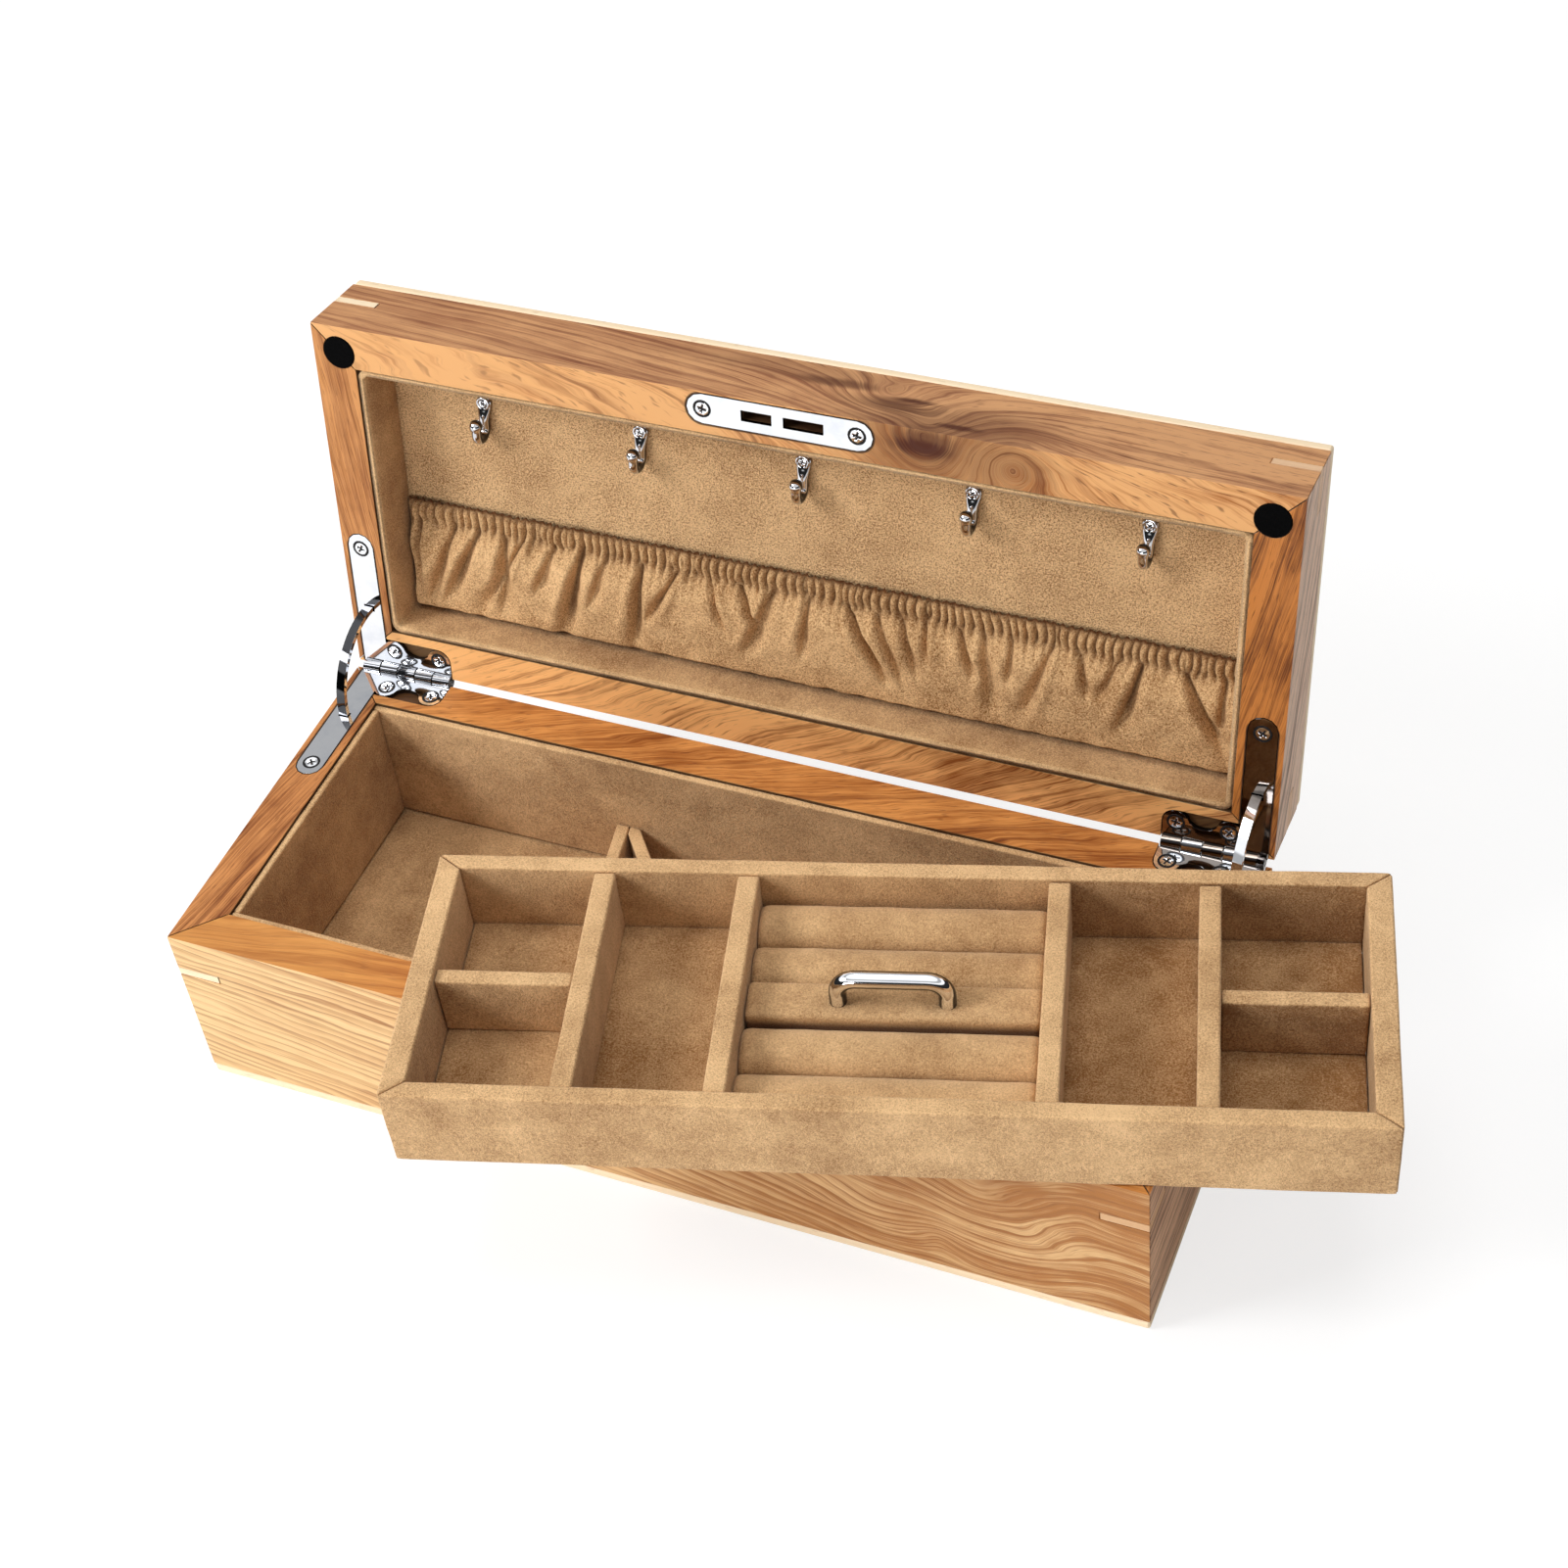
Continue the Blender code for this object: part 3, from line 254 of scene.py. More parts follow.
def board(name, along, in_lid, face, rim, streak, rings, pith, lean, wander, figure, shade,
          clear=(0.4, 0.4), swirls=(), knots=()):
    """A board cut from a log: rings about a pith line, fibres, pores and dark mineral streaks.

    The face and the rim have a pale and a deep tone each. The width of the rings, how
    clear they are, the strength of the figure, and the shade of the face and of the rim go
    from one value at the low end of the board to another at the high end. A swirl is a
    place, its size, and how many rings it bends. A knot is a place, a size on each axis,
    and how dark it is.
    """
    grain = Finish(name, Specular_IOR_Level=0.25, Coat_Roughness=0.3)
    turn, shift = (lid_upright, lid_shift) if in_lid else (upright, Vector())
    low, high = (corner + shift for corner in local_box(name, turn))
    x, y, z = grain.axes(turn, hinge_axis)
    up = grain.facing(turn)[2]
    run, depth = (x, y) if along == "x" else (y, x)
    middle = (low + high) / 2
    length, start = (high.x - low.x, low.x) if along == "x" else (high.y - low.y, low.y)
    share = (run - start) / length

    def to_end(values):
        return share * (values[1] - values[0]) + values[0]

    drift = grain.cloud(run * 7, depth * 34, z * 34, 3) - 0.5
    across = ((depth - pith[0]) ** 2 + (z - pith[1]) ** 2) ** 0.5
    from_middle = across - math.dist((middle.y if along == "x" else middle.x, middle.z), pith)
    flow = (from_middle + run * lean) * to_end([1 / width for width in rings]) + drift * wander + 50
    for place, size, turns in swirls:
        away = sum((value - centre) ** 2 for value, centre in zip((x, y, z), place)) / size ** 2
        flow = flow + turns / (1 + away)
    flow = flow + (grain.cloud(1.0, flow * 0.45, 4.0, 2) - 0.5) * 2
    jitter = grain.cloud(run * 40, flow * 2.5, 1.0, 2) - 0.5
    ring = flow + jitter * 0.9
    edge = ring.worked("FRACT", ring)
    late = edge.between(0.2, 0.85) * (1 - edge.between(0.88, 1.0))
    broad = grain.cloud(run * 5, flow * 0.3, 2.0, 2).between(0.3, 0.7)
    band = grain.cloud(run * 9, flow * 1.2, 5.0, 3, 0.6)
    fibre = grain.cloud(run * 18, flow * 6, 8.0, 3, 0.6)
    silk = grain.cloud(run * 90, flow * 24, 3.0, 2, 0.6)
    fleck = grain.cloud(run * 45, depth * 75, z * 75, 2)
    pores = grain.cloud(run * 170, flow * 11, 6.0, 1).between(0.6, 0.74)
    flat = (up * up).between(0.3, 0.7)
    pale, deep = (grain.mixed(flat, on_face, on_rim) for on_face, on_rim in zip(face, rim))
    bold = to_end(figure) + flat * 0.15
    ringed = to_end(clear) * (1 - flat * 0.6)
    deepening = to_end(shade[:2]) * (1 - flat) + to_end(shade[2:]) * flat
    mottle = (band - 0.5) * (1.9 - flat * 0.5) + (fibre - 0.5) * (flat * 0.3 + 1.5)
    mottle = mottle + (silk - 0.5) * (flat * 0.3 + 1) + (fleck - 0.5) * 1.1
    depth_of_tone = mottle * bold + (late - 0.3) * ringed + (broad - 0.5) * bold * 0.4 + deepening + 0.2
    body = grain.mixed(depth_of_tone, pale, deep)
    line = edge.between(0.66, 0.84) * (1 - edge.between(0.9, 1.0)) * (band + fibre * 0.6).between(0.5, 0.95)
    dark = band.between(0.5, 0.74) * fibre.between(0.35, 0.62)
    for stained in (line * ringed, dark * bold * 0.6, pores * bold * 0.45):
        body = grain.mixed(stained, body, streak)
    for place, size, strength in knots:
        off = sum(((value - centre) / half) ** 2 for value, centre, half in zip((x, y, z), place, size))
        away = off ** 0.5 + drift * 1.6 + (fibre - 0.5) * 1.4
        body = grain.mixed((1 - away.between(0.4, 1.25)) * strength, body, knot_brown)
    # Painted shade darkens the rim in the cuts for its metal and in the gaps round the plates.
    body = grain.mixed(painted_cut_shade(x, y, z, up, flat), body, cut_shade_brown)
    relief = grain.raised(fibre * 0.6 - pores - late * 0.2, 0.00006, 0.8)
    roughness = 0.4 + (1 - fibre) * 0.2
    dress(name, grain.wear(Base_Color=body, Roughness=roughness, Normal=relief, Coat_Weight=late * 0.1))


walnut, straw, wheat = tone(98, 48, 18), tone(222, 181, 130), tone(174, 120, 68)
orange_rim = (tone(216, 152, 82), tone(160, 90, 34))
red_rim = (tone(206, 140, 82), tone(126, 66, 26))
front_swirls = [((0.118, -0.07, 0.044), 0.020, 5), ((0.160, -0.07, 0.004), 0.026, -4),
                ((0.082, -0.07, 0.030), 0.022, 3), ((0.104, -0.07, 0.020), 0.009, -2.5),
                ((0.136, -0.07, 0.034), 0.011, 2.5), ((0.152, -0.07, 0.050), 0.010, -2)]
# The front wall's face is painted pale at its left end and deeper towards the right: partly the board's own
# tone, partly painted light from the lamp at the front left.
board("box_front_wall", "x", False, face=(tone(236, 198, 144), tone(172, 114, 60)), rim=orange_rim,
      streak=tone(124, 72, 34), rings=(0.0024, 0.0032), pith=(0.05, -0.08), lean=0.11, wander=5,
      figure=(0.3, 0.9), shade=(-0.05, 0.75, 0.15, 0.3), clear=(0.42, 0.3), swirls=front_swirls)
board("box_back_wall", "x", False, face=(tone(216, 170, 116), wheat),
      rim=(tone(214, 146, 78), tone(146, 80, 28)), streak=walnut, rings=(0.0034, 0.0034),
      pith=(-0.03, -0.10), lean=-0.16, wander=3, figure=(1.0, 1.0), shade=(0.2, 0.2, 0.0, 0.5))
board("box_left_wall", "y", False, face=(tone(214, 166, 112), wheat), rim=red_rim,
      streak=walnut, rings=(0.0028, 0.0028), pith=(-0.06, -0.06), lean=0.10, wander=2.5,
      figure=(1.2, 1.0), shade=(0.2, 0.2, 0.2, 0.1))
board("box_right_wall", "y", False, face=(tone(216, 172, 136), tone(140, 96, 66)), rim=orange_rim,
      streak=tone(104, 66, 44), rings=(0.0030, 0.0030), pith=(0.06, -0.09), lean=0.02, wander=3,
      figure=(1.2, 1.2), shade=(-0.1, -0.1, 0.2, 0.2), clear=(0.5, 0.5))

# The four rails of the lid, from darker lengths of the same wood. A knot breaks
# through the front rail right of the middle, and the rings bend round it.
knot_place = (0.051, -0.0655, 0.0738)
lid_swirls = [(knot_place, 0.014, 6), ((0.080, -0.062, 0.0738), 0.010, -4),
              ((0.03, -0.0705, 0.092), 0.016, 4)]
lid_knots = [(knot_place, (0.011, 0.006, 0.008), 0.7),
             ((0.036, -0.0705, 0.086), (0.022, 0.006, 0.006), 0.8),
             ((0.014, -0.0705, 0.094), (0.018, 0.006, 0.0035), 0.7),
             ((0.058, -0.0655, 0.080), (0.040, 0.02, 0.016), 0.5),
             ((-0.010, -0.0705, 0.098), (0.05, 0.006, 0.007), 0.3),
             ((0.050, -0.064, 0.0738), (0.009, 0.0030, 0.004), 0.95),
             ((0.041, -0.0705, 0.0905), (0.012, 0.006, 0.0022), 0.9),
             ((0.060, -0.0705, 0.079), (0.009, 0.006, 0.002), 0.9)]
board("lid_front_rail", "x", True, face=(tone(210, 156, 108), tone(142, 86, 56)),
      rim=(tone(222, 166, 108), tone(164, 98, 44)), streak=tone(92, 46, 24), rings=(0.0034, 0.0044),
      pith=(-0.03, -0.02), lean=0.10, wander=4, figure=(0.6, 1.3), shade=(0.3, -0.1, -0.25, 0.2),
      clear=(0.3, 0.3), swirls=lid_swirls, knots=lid_knots)
board("lid_back_rail", "x", True, face=(straw, wheat), rim=(tone(240, 180, 114), tone(142, 80, 34)),
      streak=walnut, rings=(0.0032, 0.0032), pith=(0.02, -0.01), lean=0.24, wander=2.5,
      figure=(0.8, 1.1), shade=(0.2, 0.2, -0.5, 0.4))
board("lid_left_rail", "y", True, face=(tone(206, 158, 108), wheat),
      rim=(tone(204, 142, 84), tone(150, 90, 42)), streak=walnut, rings=(0.0036, 0.0036),
      pith=(-0.08, 0.0), lean=0.08, wander=3, figure=(1, 1), shade=(0.2, 0.2, 0.18, 0.18))
board("lid_right_rail", "y", True, face=(tone(230, 194, 166), tone(176, 136, 110)),
      rim=(tone(192, 120, 56), tone(112, 58, 20)), streak=tone(70, 34, 12), rings=(0.0036, 0.0036),
      pith=(0.08, 0.02), lean=0.2, wander=3, figure=(1.3, 1.3), shade=(-0.12, -0.12, 0, 0), clear=(0.4, 0.4))

# The panels that close the box below and the lid above, of pale plain maple with
# rounded edges that stand out as a light line along the darker wood.
cream = (tone(252, 232, 200), tone(238, 208, 166))


def maple(name, in_lid, tones=cream):
    """Close pale wood with faint straight fibres along X and small flecks."""
    grain = Finish(name, Specular_IOR_Level=0.4)
    x, y, z = grain.axes(lid_upright, hinge_axis) if in_lid else grain.axes()
    fibre = grain.cloud(x * 20, y * 700, z * 700, 4, 0.6)
    fleck = grain.cloud(x * 200, y * 1400, z * 1400, 1).between(0.64, 0.74)
    band = grain.cloud(x * 6, y * 60, z * 60, 2)
    body = grain.mixed((fibre - 0.5) * 0.8 + band * 0.7, *tones)
    body = grain.mixed(fleck * 0.25, body, tone(170, 120, 76))
    relief = grain.raised(fibre - fleck, 0.00005, 0.7)
    return grain.wear(Base_Color=body, Roughness=0.42 + fibre * 0.12, Normal=relief)


dress("box_base_panel", maple("base panel", False))
dress("lid_top_panel", maple("top panel", True))

# Triangular keys of the pale wood, glued across each mitre in a sawn slot and
# planed flush, so that each shows as a short light bar on both faces.
biscuit, bisque = (tone(230, 192, 154), tone(210, 166, 124)), (tone(216, 172, 128), tone(196, 150, 104))
key_easing = 0.0002
for prefix, in_lid, darker in (("box", False, bisque), ("lid", True, biscuit)):
    for corner in ("front_left", "front_right", "back_left", "back_right"):
        tones = darker if "right" in corner else cream
        dress(f"{prefix}_key_{corner}", maple(f"{prefix}_key_{corner}", in_lid, tones), key_easing)

# Boards covered in tan suede line the box and part it. The nap is brushed, so it shows lighter
# and darker patches, and it is rubbed smooth on the turned edges, which are painted lighter as worn nap and
# as a highlight.
# The third tone is painted shade for creases and mouths.
nap_light, nap_dark, crease_shade_tone = tone(232, 192, 142), tone(138, 95, 54), tone(80, 40, 14)
edge_wear_and_highlight = 0.21
skin_sway, turned_swell, plain_swell = 0.00016, 0.0003, 0.00005
pad_pitch, pad_crown, crown_reach, crown_sink = 0.006, 0.0009, 0.012, 0.0006


def suede(name, grit=0.6, wear_and_shade=0.0, crease_shade=None, lip=None, sheen=0.4, shade_past=None):
    """Short brushed nap: broad patches, finger marks, and a speckle of single tufts.

    A crease shade is a level on Z and how far from it painted shade darkens the cloth
    (downwards, or upwards if less than 0), and the level on Y of an edge along its mouth, if
    it has one, which is painted dark as its shadow. A lip is the level of the turned edge,
    which is painted lighter as worn nap and as a highlight. A shade past X is a place on X
    and how much darker, as painted shade, the nap is beyond it.
    """
    nap = Finish(name, Sheen_Weight=sheen, Sheen_Roughness=0.5, Sheen_Tint=tone(255, 232, 200),
                 Specular_IOR_Level=0.1)
    x, y, z = nap.axes()
    patch = nap.cloud(x * 26, y * 26, z * 26, 3, 0.6)
    mark = nap.cloud(x * 130, y * 130, z * 130, 3, 0.6)
    tuft = nap.cloud(x * 1250, y * 1250, z * 1250, 2, 0.7)
    fuzz = nap.cloud(x * 2300, y * 2300, z * 2300, 1, 0.7)
    speckle = (tuft - 0.5) * 1.9 + (fuzz - 0.5) * 2.0
    if shade_past:
        # Painted shade: the nap is darker past a place on X.
        wear_and_shade = wear_and_shade - x.between(shade_past[0], shade_past[0] + 0.02) * shade_past[1]
    if lip is not None:
        # The turned edge is painted lighter, as worn nap and as a highlight.
        wear_and_shade = (1 - abs(z - lip).between(0.0001, 0.0012)) * (edge_wear_and_highlight - wear_and_shade) + wear_and_shade
    brushed = (patch - 0.5) * 1.1 + (mark - 0.5) * 0.6 + speckle * grit + 0.5 + wear_and_shade
    body = nap.mixed(brushed, nap_dark, nap_light)
    if crease_shade:
        level, reach, mouth = crease_shade
        open_part = ((level - z) / reach).between(0, 1)
        if mouth is not None:
            open_part = open_part * (y - mouth).between(0.0004, 0.0012)
        # Painted shade darkens the cloth near the crease level and along its mouth.
        body = nap.mixed((1 - open_part) * 0.92, body, crease_shade_tone)
    relief = nap.raised(tuft + fuzz * 0.5 + mark * 0.6, 0.0006, 0.4 + grit * 0.5)
    return nap.wear(Base_Color=body, Roughness=0.86 + tuft * 0.12, Normal=relief)


def cut_in_steps(work, pitch):
    """Cuts a solid along all three axes, so that its skin can be shaped."""
    for axis in range(3):
        reach = [vert.co[axis] for vert in work.verts]
        low, span = min(reach), max(reach) - min(reach)
        count = int(span / pitch)
        for step in range(1, count):
            place, facing = Vector(), Vector()
            place[axis] = low + span * step / count
            facing[axis] = 1
            whole = [*work.verts, *work.edges, *work.faces]
            bmesh.ops.bisect_plane(work, geom=whole, plane_co=place, plane_no=facing, dist=weld_reach)


def placed(name, content):
    """An object of the scene that holds a mesh, a lamp or a camera."""
    thing = bpy.data.objects.new(name, content)
    bpy.context.scene.collection.objects.link(thing)
    return thing


def skinned(name, work, *materials):
    """Turns the work into an object of the scene, smooth all over, in its materials."""
    skin = bpy.data.meshes.new(name)
    work.to_mesh(skin)
    work.free()
    skin.shade_smooth()
    for material in materials:
        skin.materials.append(material)
    return placed(name, skin)


def finished_piece(name, work, material, turn, stands_for):
    """Turns the work into a piece that takes the place of a CAD piece, on its body."""
    bmesh.ops.recalc_face_normals(work, faces=work.faces)
    piece = skinned(name, work, material)
    piece.matrix_world = turn.inverted().to_4x4()
    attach(piece, frame["nodes"][stands_for]["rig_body"])
    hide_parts(stands_for)
    return piece


def covered(name, turn=upright, grit=0.6, wear_and_shade=0.0, opens=1, swell=plain_swell, shade_past=None):
    """A board in its suede: the CAD solid's form with a skin that is nowhere quite flat.

    The edge that the suede is turned over, upwards (1) or downwards (0), swells a little.
    """
    lip = local_box(name, turn)[opens].z
    work = bmesh.new()
    work.from_mesh(frame["nodes"][name].data)
    bmesh.ops.remove_doubles(work, verts=work.verts, dist=weld_reach)
    bmesh.ops.transform(work, matrix=turn.to_4x4(), verts=work.verts)
    bmesh.ops.dissolve_limit(work, angle_limit=math.radians(2), verts=work.verts, edges=work.edges)
    cut_in_steps(work, 0.005)
    work.normal_update()
    for vert in work.verts:
        lump = noise.noise(vert.co * 70) + 0.5 * noise.noise(vert.co * 190)
        turned_over = math.exp(-((vert.co.z - lip) / 0.0015) ** 2)
        vert.co += vert.normal * (skin_sway * lump + swell * turned_over * (1 - vert.normal.z ** 2))
    piece = finished_piece(f"{name}_cover", work, suede(name, grit, wear_and_shade, lip=lip, shade_past=shade_past), turn, name)
    altered(piece, "Even shine", "WEIGHTED_NORMAL", keep_sharp=False)


def cushion(name, turn, rounding, pitch, press, grit=0.6, wear_and_shade=0.0, crease_shade=None, shade_past=None):
    """A padded block in the room of a CAD solid, shaped by a function of place and box."""
    low, high = local_box(name, turn)
    work = bmesh.new()
    bmesh.ops.create_cube(work, size=1, matrix=Matrix.LocRotScale((low + high) / 2, None, high - low))
    bmesh.ops.bevel(work, geom=work.edges[:], offset=rounding, segments=4, profile=0.6, affect="EDGES")
    cut_in_steps(work, pitch)
    for vert in work.verts:
        vert.co += press(vert.co, low, high)
    piece = finished_piece(f"{name}_cushion", work, suede(name, grit, wear_and_shade, crease_shade, shade_past=shade_past), turn, name)


def quilted(place, low, high):
    """A thin pad that crowns a little away from the four sides of its box."""
    from_edge = min(place.x - low.x, high.x - place.x, place.y - low.y, high.y - place.y)
    rise = 1 - math.exp(-from_edge / crown_reach)
    lump = noise.noise(place * 45) * 0.0003
    face = 1 if place.z > (low.z + high.z) / 2 else 0
    return Vector((0, 0, face * (rise * pad_crown + lump - crown_sink)))


# The back lining is painted a little lighter and the left one a little darker, as the light and shade that
# fall inside the box.
for side, wear_and_shade in (("front", 0), ("back", 0.06), ("left", -0.06), ("right", 0)):
    covered(f"box_lining_{side}", wear_and_shade=wear_and_shade, swell=turned_swell)
for word in ("left", "slanted", "right"):
    covered(f"box_partition_{word}")
cushion("box_floor_board", upright, 0.0008, pad_pitch, quilted)

# Inside the lid a strip of the same suede over card follows the rails, and a thin
# padded board closes the back of the recess behind it.
covered("lid_lining", lid_upright, wear_and_shade=-0.05, opens=0, swell=turned_swell)


def lid_pad(place, low, high):
    """The face that looks out of the lid crowns a little."""
    shown = 1 if place.z < (low.z + high.z) / 2 else 0
    return Vector((0, 0, shown * (0.0001 + noise.noise(place * 40) * 0.0001)))


cushion("lid_back_pad", lid_upright, 0.0006, pad_pitch, lid_pad, grit=1.5, wear_and_shade=0.14)

# The gathered pocket: a strip of suede a third longer than the lid, drawn up on an
# elastic along its mouth and sewn in flat along the foot and the sides, so that it
# stands off the pad in folds that start at the gathers and open downwards.
band, band_foot = 0.0085, 0.010
gather_pitch, gather_height, gather_fade = 0.0032, 0.0036, 0.0032
cloth_thickness, seam_rise, thinnest = 0.0005, 0.0002, 0.0004
belly_at_mouth, belly_below = 0.0010, 0.0064
mouth_reach, side_reach = 0.003, 0.0015
steep_side, easy_side = (0.0006, 0.0009), (0.0012, 0.0034)
crest_height, deepest_sink = 0.0013, 0.88
columns, rows = 640, 84
pocket_low, pocket_high = local_box("gathered_pocket", lid_upright)
pocket_width, pocket_drop = pocket_high.x - pocket_low.x, pocket_high.y - pocket_low.y
draw = random.Random(11)
folds = []
fold_x = pocket_low.x + 0.005
while fold_x < pocket_high.x - 0.003:
    folds.append({"x": fold_x, "lean": draw.uniform(-0.6, 0.6), "reach": draw.uniform(0.45, 1.15),
                  "deep": draw.uniform(0.55, 1.0), "side": draw.choice((-1, 1)),
                  "width": draw.uniform(0.8, 1.5)})
    fold_x += draw.uniform(0.0075, 0.0150)


def smooth_step(value, start, end):
    share = min(1, max(0, (value - start) / (end - start)))
    return share * share * (3 - 2 * share)


def folded(x, y):
    """How far the folds sink in at a place, from 0 to 1, and how far their crests rise."""
    share = (y - band) / (pocket_drop - band)
    sink = rise = 0
    if share < -0.1:
        return sink, rise
    for fold in folds:
        off = x - fold["x"] - fold["lean"] * max(0, y - band)
        narrow, growth = steep_side if off * fold["side"] > 0 else easy_side
        wide = fold["width"] * (narrow + growth * max(0, share))
        if abs(off) > 4 * wide + 0.004:
            continue
        along = smooth_step(share, -0.08, 0.06) * (1 - smooth_step(share, fold["reach"] * 0.5, fold["reach"]))
        sink = max(sink, fold["deep"] * along * math.exp(-(off / wide) ** 2))
        crest = off - fold["side"] * (0.0022 + 0.003 * max(0, share))
        crest_width = 0.0012 + 0.0018 * max(0, share)
        rise += crest_height * fold["deep"] * along * math.exp(-(crest / crest_width) ** 2)
    return sink, rise


def cloth_height(x, y):
    """How far the cloth stands off the pad at a distance y below the mouth."""
    sway = noise.noise((x * 22, 4.0, 0.0))
    jitter = 0.0016 * noise.noise((x * 90, 0.3, y * 30)) + 0.5 * y * sway
    jitter += 0.0009 * math.sin(math.pi * min(1, y / band)) * (1 if sway > 0 else -1)
    gather = abs(math.sin(math.pi * (x + jitter) / gather_pitch)) ** 1.1
    strong = 0.8 + 0.4 * noise.noise((x * 130, 9.0, 0.0))
    end = band * (0.85 + 0.5 * noise.noise((x * 210, 6.0, 0.0)))
    fade = 1 if y < end else math.exp((end - y) / gather_fade)
    fade *= 0.35 + 0.65 * smooth_step(y, 0, 0.0025)
    below = smooth_step(y, band * 0.8, band + band_foot)
    foot = max(0, (pocket_drop - y) / pocket_drop)
    belly = belly_at_mouth + belly_below * below
    belly *= min(1, (foot / 0.06) ** 0.5)
    belly *= 1 - 0.2 * smooth_step(y, 0.026, pocket_drop)
    belly *= 0.35 + 0.65 * smooth_step(y, 0, mouth_reach)
    height = belly + gather_height * gather * strong * fade
    height -= 0.0006 * math.exp(-((y - end) / 0.0006) ** 2)
    sink, rise = folded(x, y)
    height = height * (1 - deepest_sink * sink) + rise * (1 - sink)
    height += 0.0004 * below * noise.noise((x * 160, y * 160, 2.0))
    return max(thinnest, height)


work = bmesh.new()
bmesh.ops.create_grid(work, x_segments=columns, y_segments=rows, size=0.5)
sewn_level = pocket_high.z - seam_rise
for vert in work.verts:
    x = vert.co.x * pocket_width
    y = (vert.co.y + 0.5) ** 0.9 * pocket_drop
    ruffle = 0.0011 * abs(math.sin(math.pi * (x / gather_pitch))) * (1 - smooth_step(y, 0, mouth_reach))
    ruffle *= 0.7 + 0.8 * noise.noise((x * 120, 7.0, 1.0))
    ruffle += 0.0005 * noise.noise((x * 170, 3.0, 5.0)) * smooth_step(y, pocket_drop * 0.8, pocket_drop)
    inner = max(0, min(1, (pocket_width / 2 - abs(x)) / side_reach))
    stand = cloth_height(x, y) * (0.45 + 0.55 * inner)
    vert.co = ((pocket_low.x + pocket_high.x) / 2 + x, pocket_low.y + y + ruffle, sewn_level - stand)
# Painted shade darkens the cloth where it lies close to the pad, deep in the folds and gathers, and in a dark
# line along its mouth.
pocket_finish = suede("pocket cloth", 1.0, 0.08, (sewn_level, 0.0040, pocket_low.y), sheen=0.05)
pocket = finished_piece("gathered_pocket_cloth", work, pocket_finish, lid_upright, "gathered_pocket")
altered(pocket, "Cloth thickness", "SOLIDIFY", thickness=cloth_thickness, offset=0)

# The lift-out tray: card walls, a padded floor and seven bays, wrapped in suede
# that is cut and folded over at each outside corner.
tray_square = Matrix.Rotation(math.radians(-15.52), 3, "Z")
# Painted shade: the tray's floor is painted darker as the shade in its bays, and the back wall, the right
# cross partition and the floor darker again in the bays right of the third partition.
right_bays = local_box("tray_partition_3", tray_square)[0].x - 0.01
bay_shade = {"back_wall": 0.26, "cross_partition_right": 0.3}
for name in ("front_wall", "back_wall", "left_wall", "right_wall", "partition_1", "partition_2",
             "partition_3", "partition_4", "cross_partition_left", "cross_partition_right"):
    shade_past = (right_bays, bay_shade[name]) if name in bay_shade else None
    covered(f"tray_{name}", tray_square, grit=0.65, wear_and_shade=0.04, shade_past=shade_past)
cushion("tray_floor", tray_square, 0.0006, pad_pitch, quilted, wear_and_shade=-0.16, shade_past=(right_bays, 0.12))

# Two cushions of two foam rolls each hold rings in the creases between them. A
# flat padded block parts the two cushions and carries the handle.
roll_stations, roll_arc = 70, 12
roll_end, end_shrink, roll_lump, roll_drop = 0.003, 0.0014, 0.00035, 0.0001


def lofted(work, rings):
    """Joins rings of corners into one closed skin with plain ends."""
    count = len(rings[0])
    for near, far in zip(rings, rings[1:]):
        for i in range(count):
            j = (i + 1) % count
            work.faces.new((near[i], near[j], far[j], far[i]))
    work.faces.new(rings[0])
    work.faces.new(rings[-1])


def ring_cushion(name, seed):
    """Two half-round rolls side by side, closed at the ends, with a soft uneven nap."""
    low, high = local_box(name, tray_square)
    width = (high.y - low.y) / 2
    spring = high.z - width / 2
    section = [(low.y, low.z), (low.y, (low.z + spring) / 2)]
    for first in (low.y, low.y + width):
        for step in range(roll_arc + 1):
            angle = math.pi * step / roll_arc
            y, z = first + width / 2 * (1 - math.cos(angle)), spring + width / 2 * math.sin(angle) ** 0.85
            section.append((y, z))
    section += [(high.y, (low.z + spring) / 2), (high.y, low.z)]
    work = bmesh.new()
    rings = []
    for station in range(roll_stations + 1):
        x = low.x + (high.x - low.x) * station / roll_stations
        end = min(x - low.x, high.x - x)
        shrink = end_shrink * max(0, 1 - end / roll_end) ** 2
        rings.append([])
        for y, z in section:
            lump = noise.noise((x * 110, y * 130, z * 130 + seed)) * roll_lump
            top = smooth_step(z, spring, high.z)
            rings[-1].append(work.verts.new((x, y, z + top * (lump - shrink) - top * roll_drop)))
    lofted(work, rings)
    # Painted shade darkens the rolls below their spring, in the crease between them and along their foot.
    cloth = suede(name, 0.5, 0.08, (spring + 0.0004, -0.0042, None))
    finished_piece(f"{name}_cushion", work, cloth, tray_square, name)


ring_cushion("ring_rolls_front", 1)
ring_cushion("ring_rolls_back", 5)
handle_low, handle_high = local_box("tray_handle", tray_square)
bar_radius = (handle_high.y - handle_low.y) / 2
foot_sink, foot_spread = 0.0007, 0.0045


def pressed_by_handle(place, low, high):
    """The block's top is uneven, and dips where the handle's two feet bear on it."""
    if place.z < (low.z + high.z) / 2:
        return Vector()
    sink = 0
    for foot in (handle_low.x + bar_radius, handle_high.x - bar_radius):
        middle = (low.y + high.y) / 2
        sink += foot_sink * math.exp(-((place.x - foot) ** 2 + (place.y - middle) ** 2) / foot_spread ** 2)
    return Vector((0, 0, noise.noise(place * 100) * 0.0003 - sink))


block_top = local_box("handle_block", tray_square)[1].z
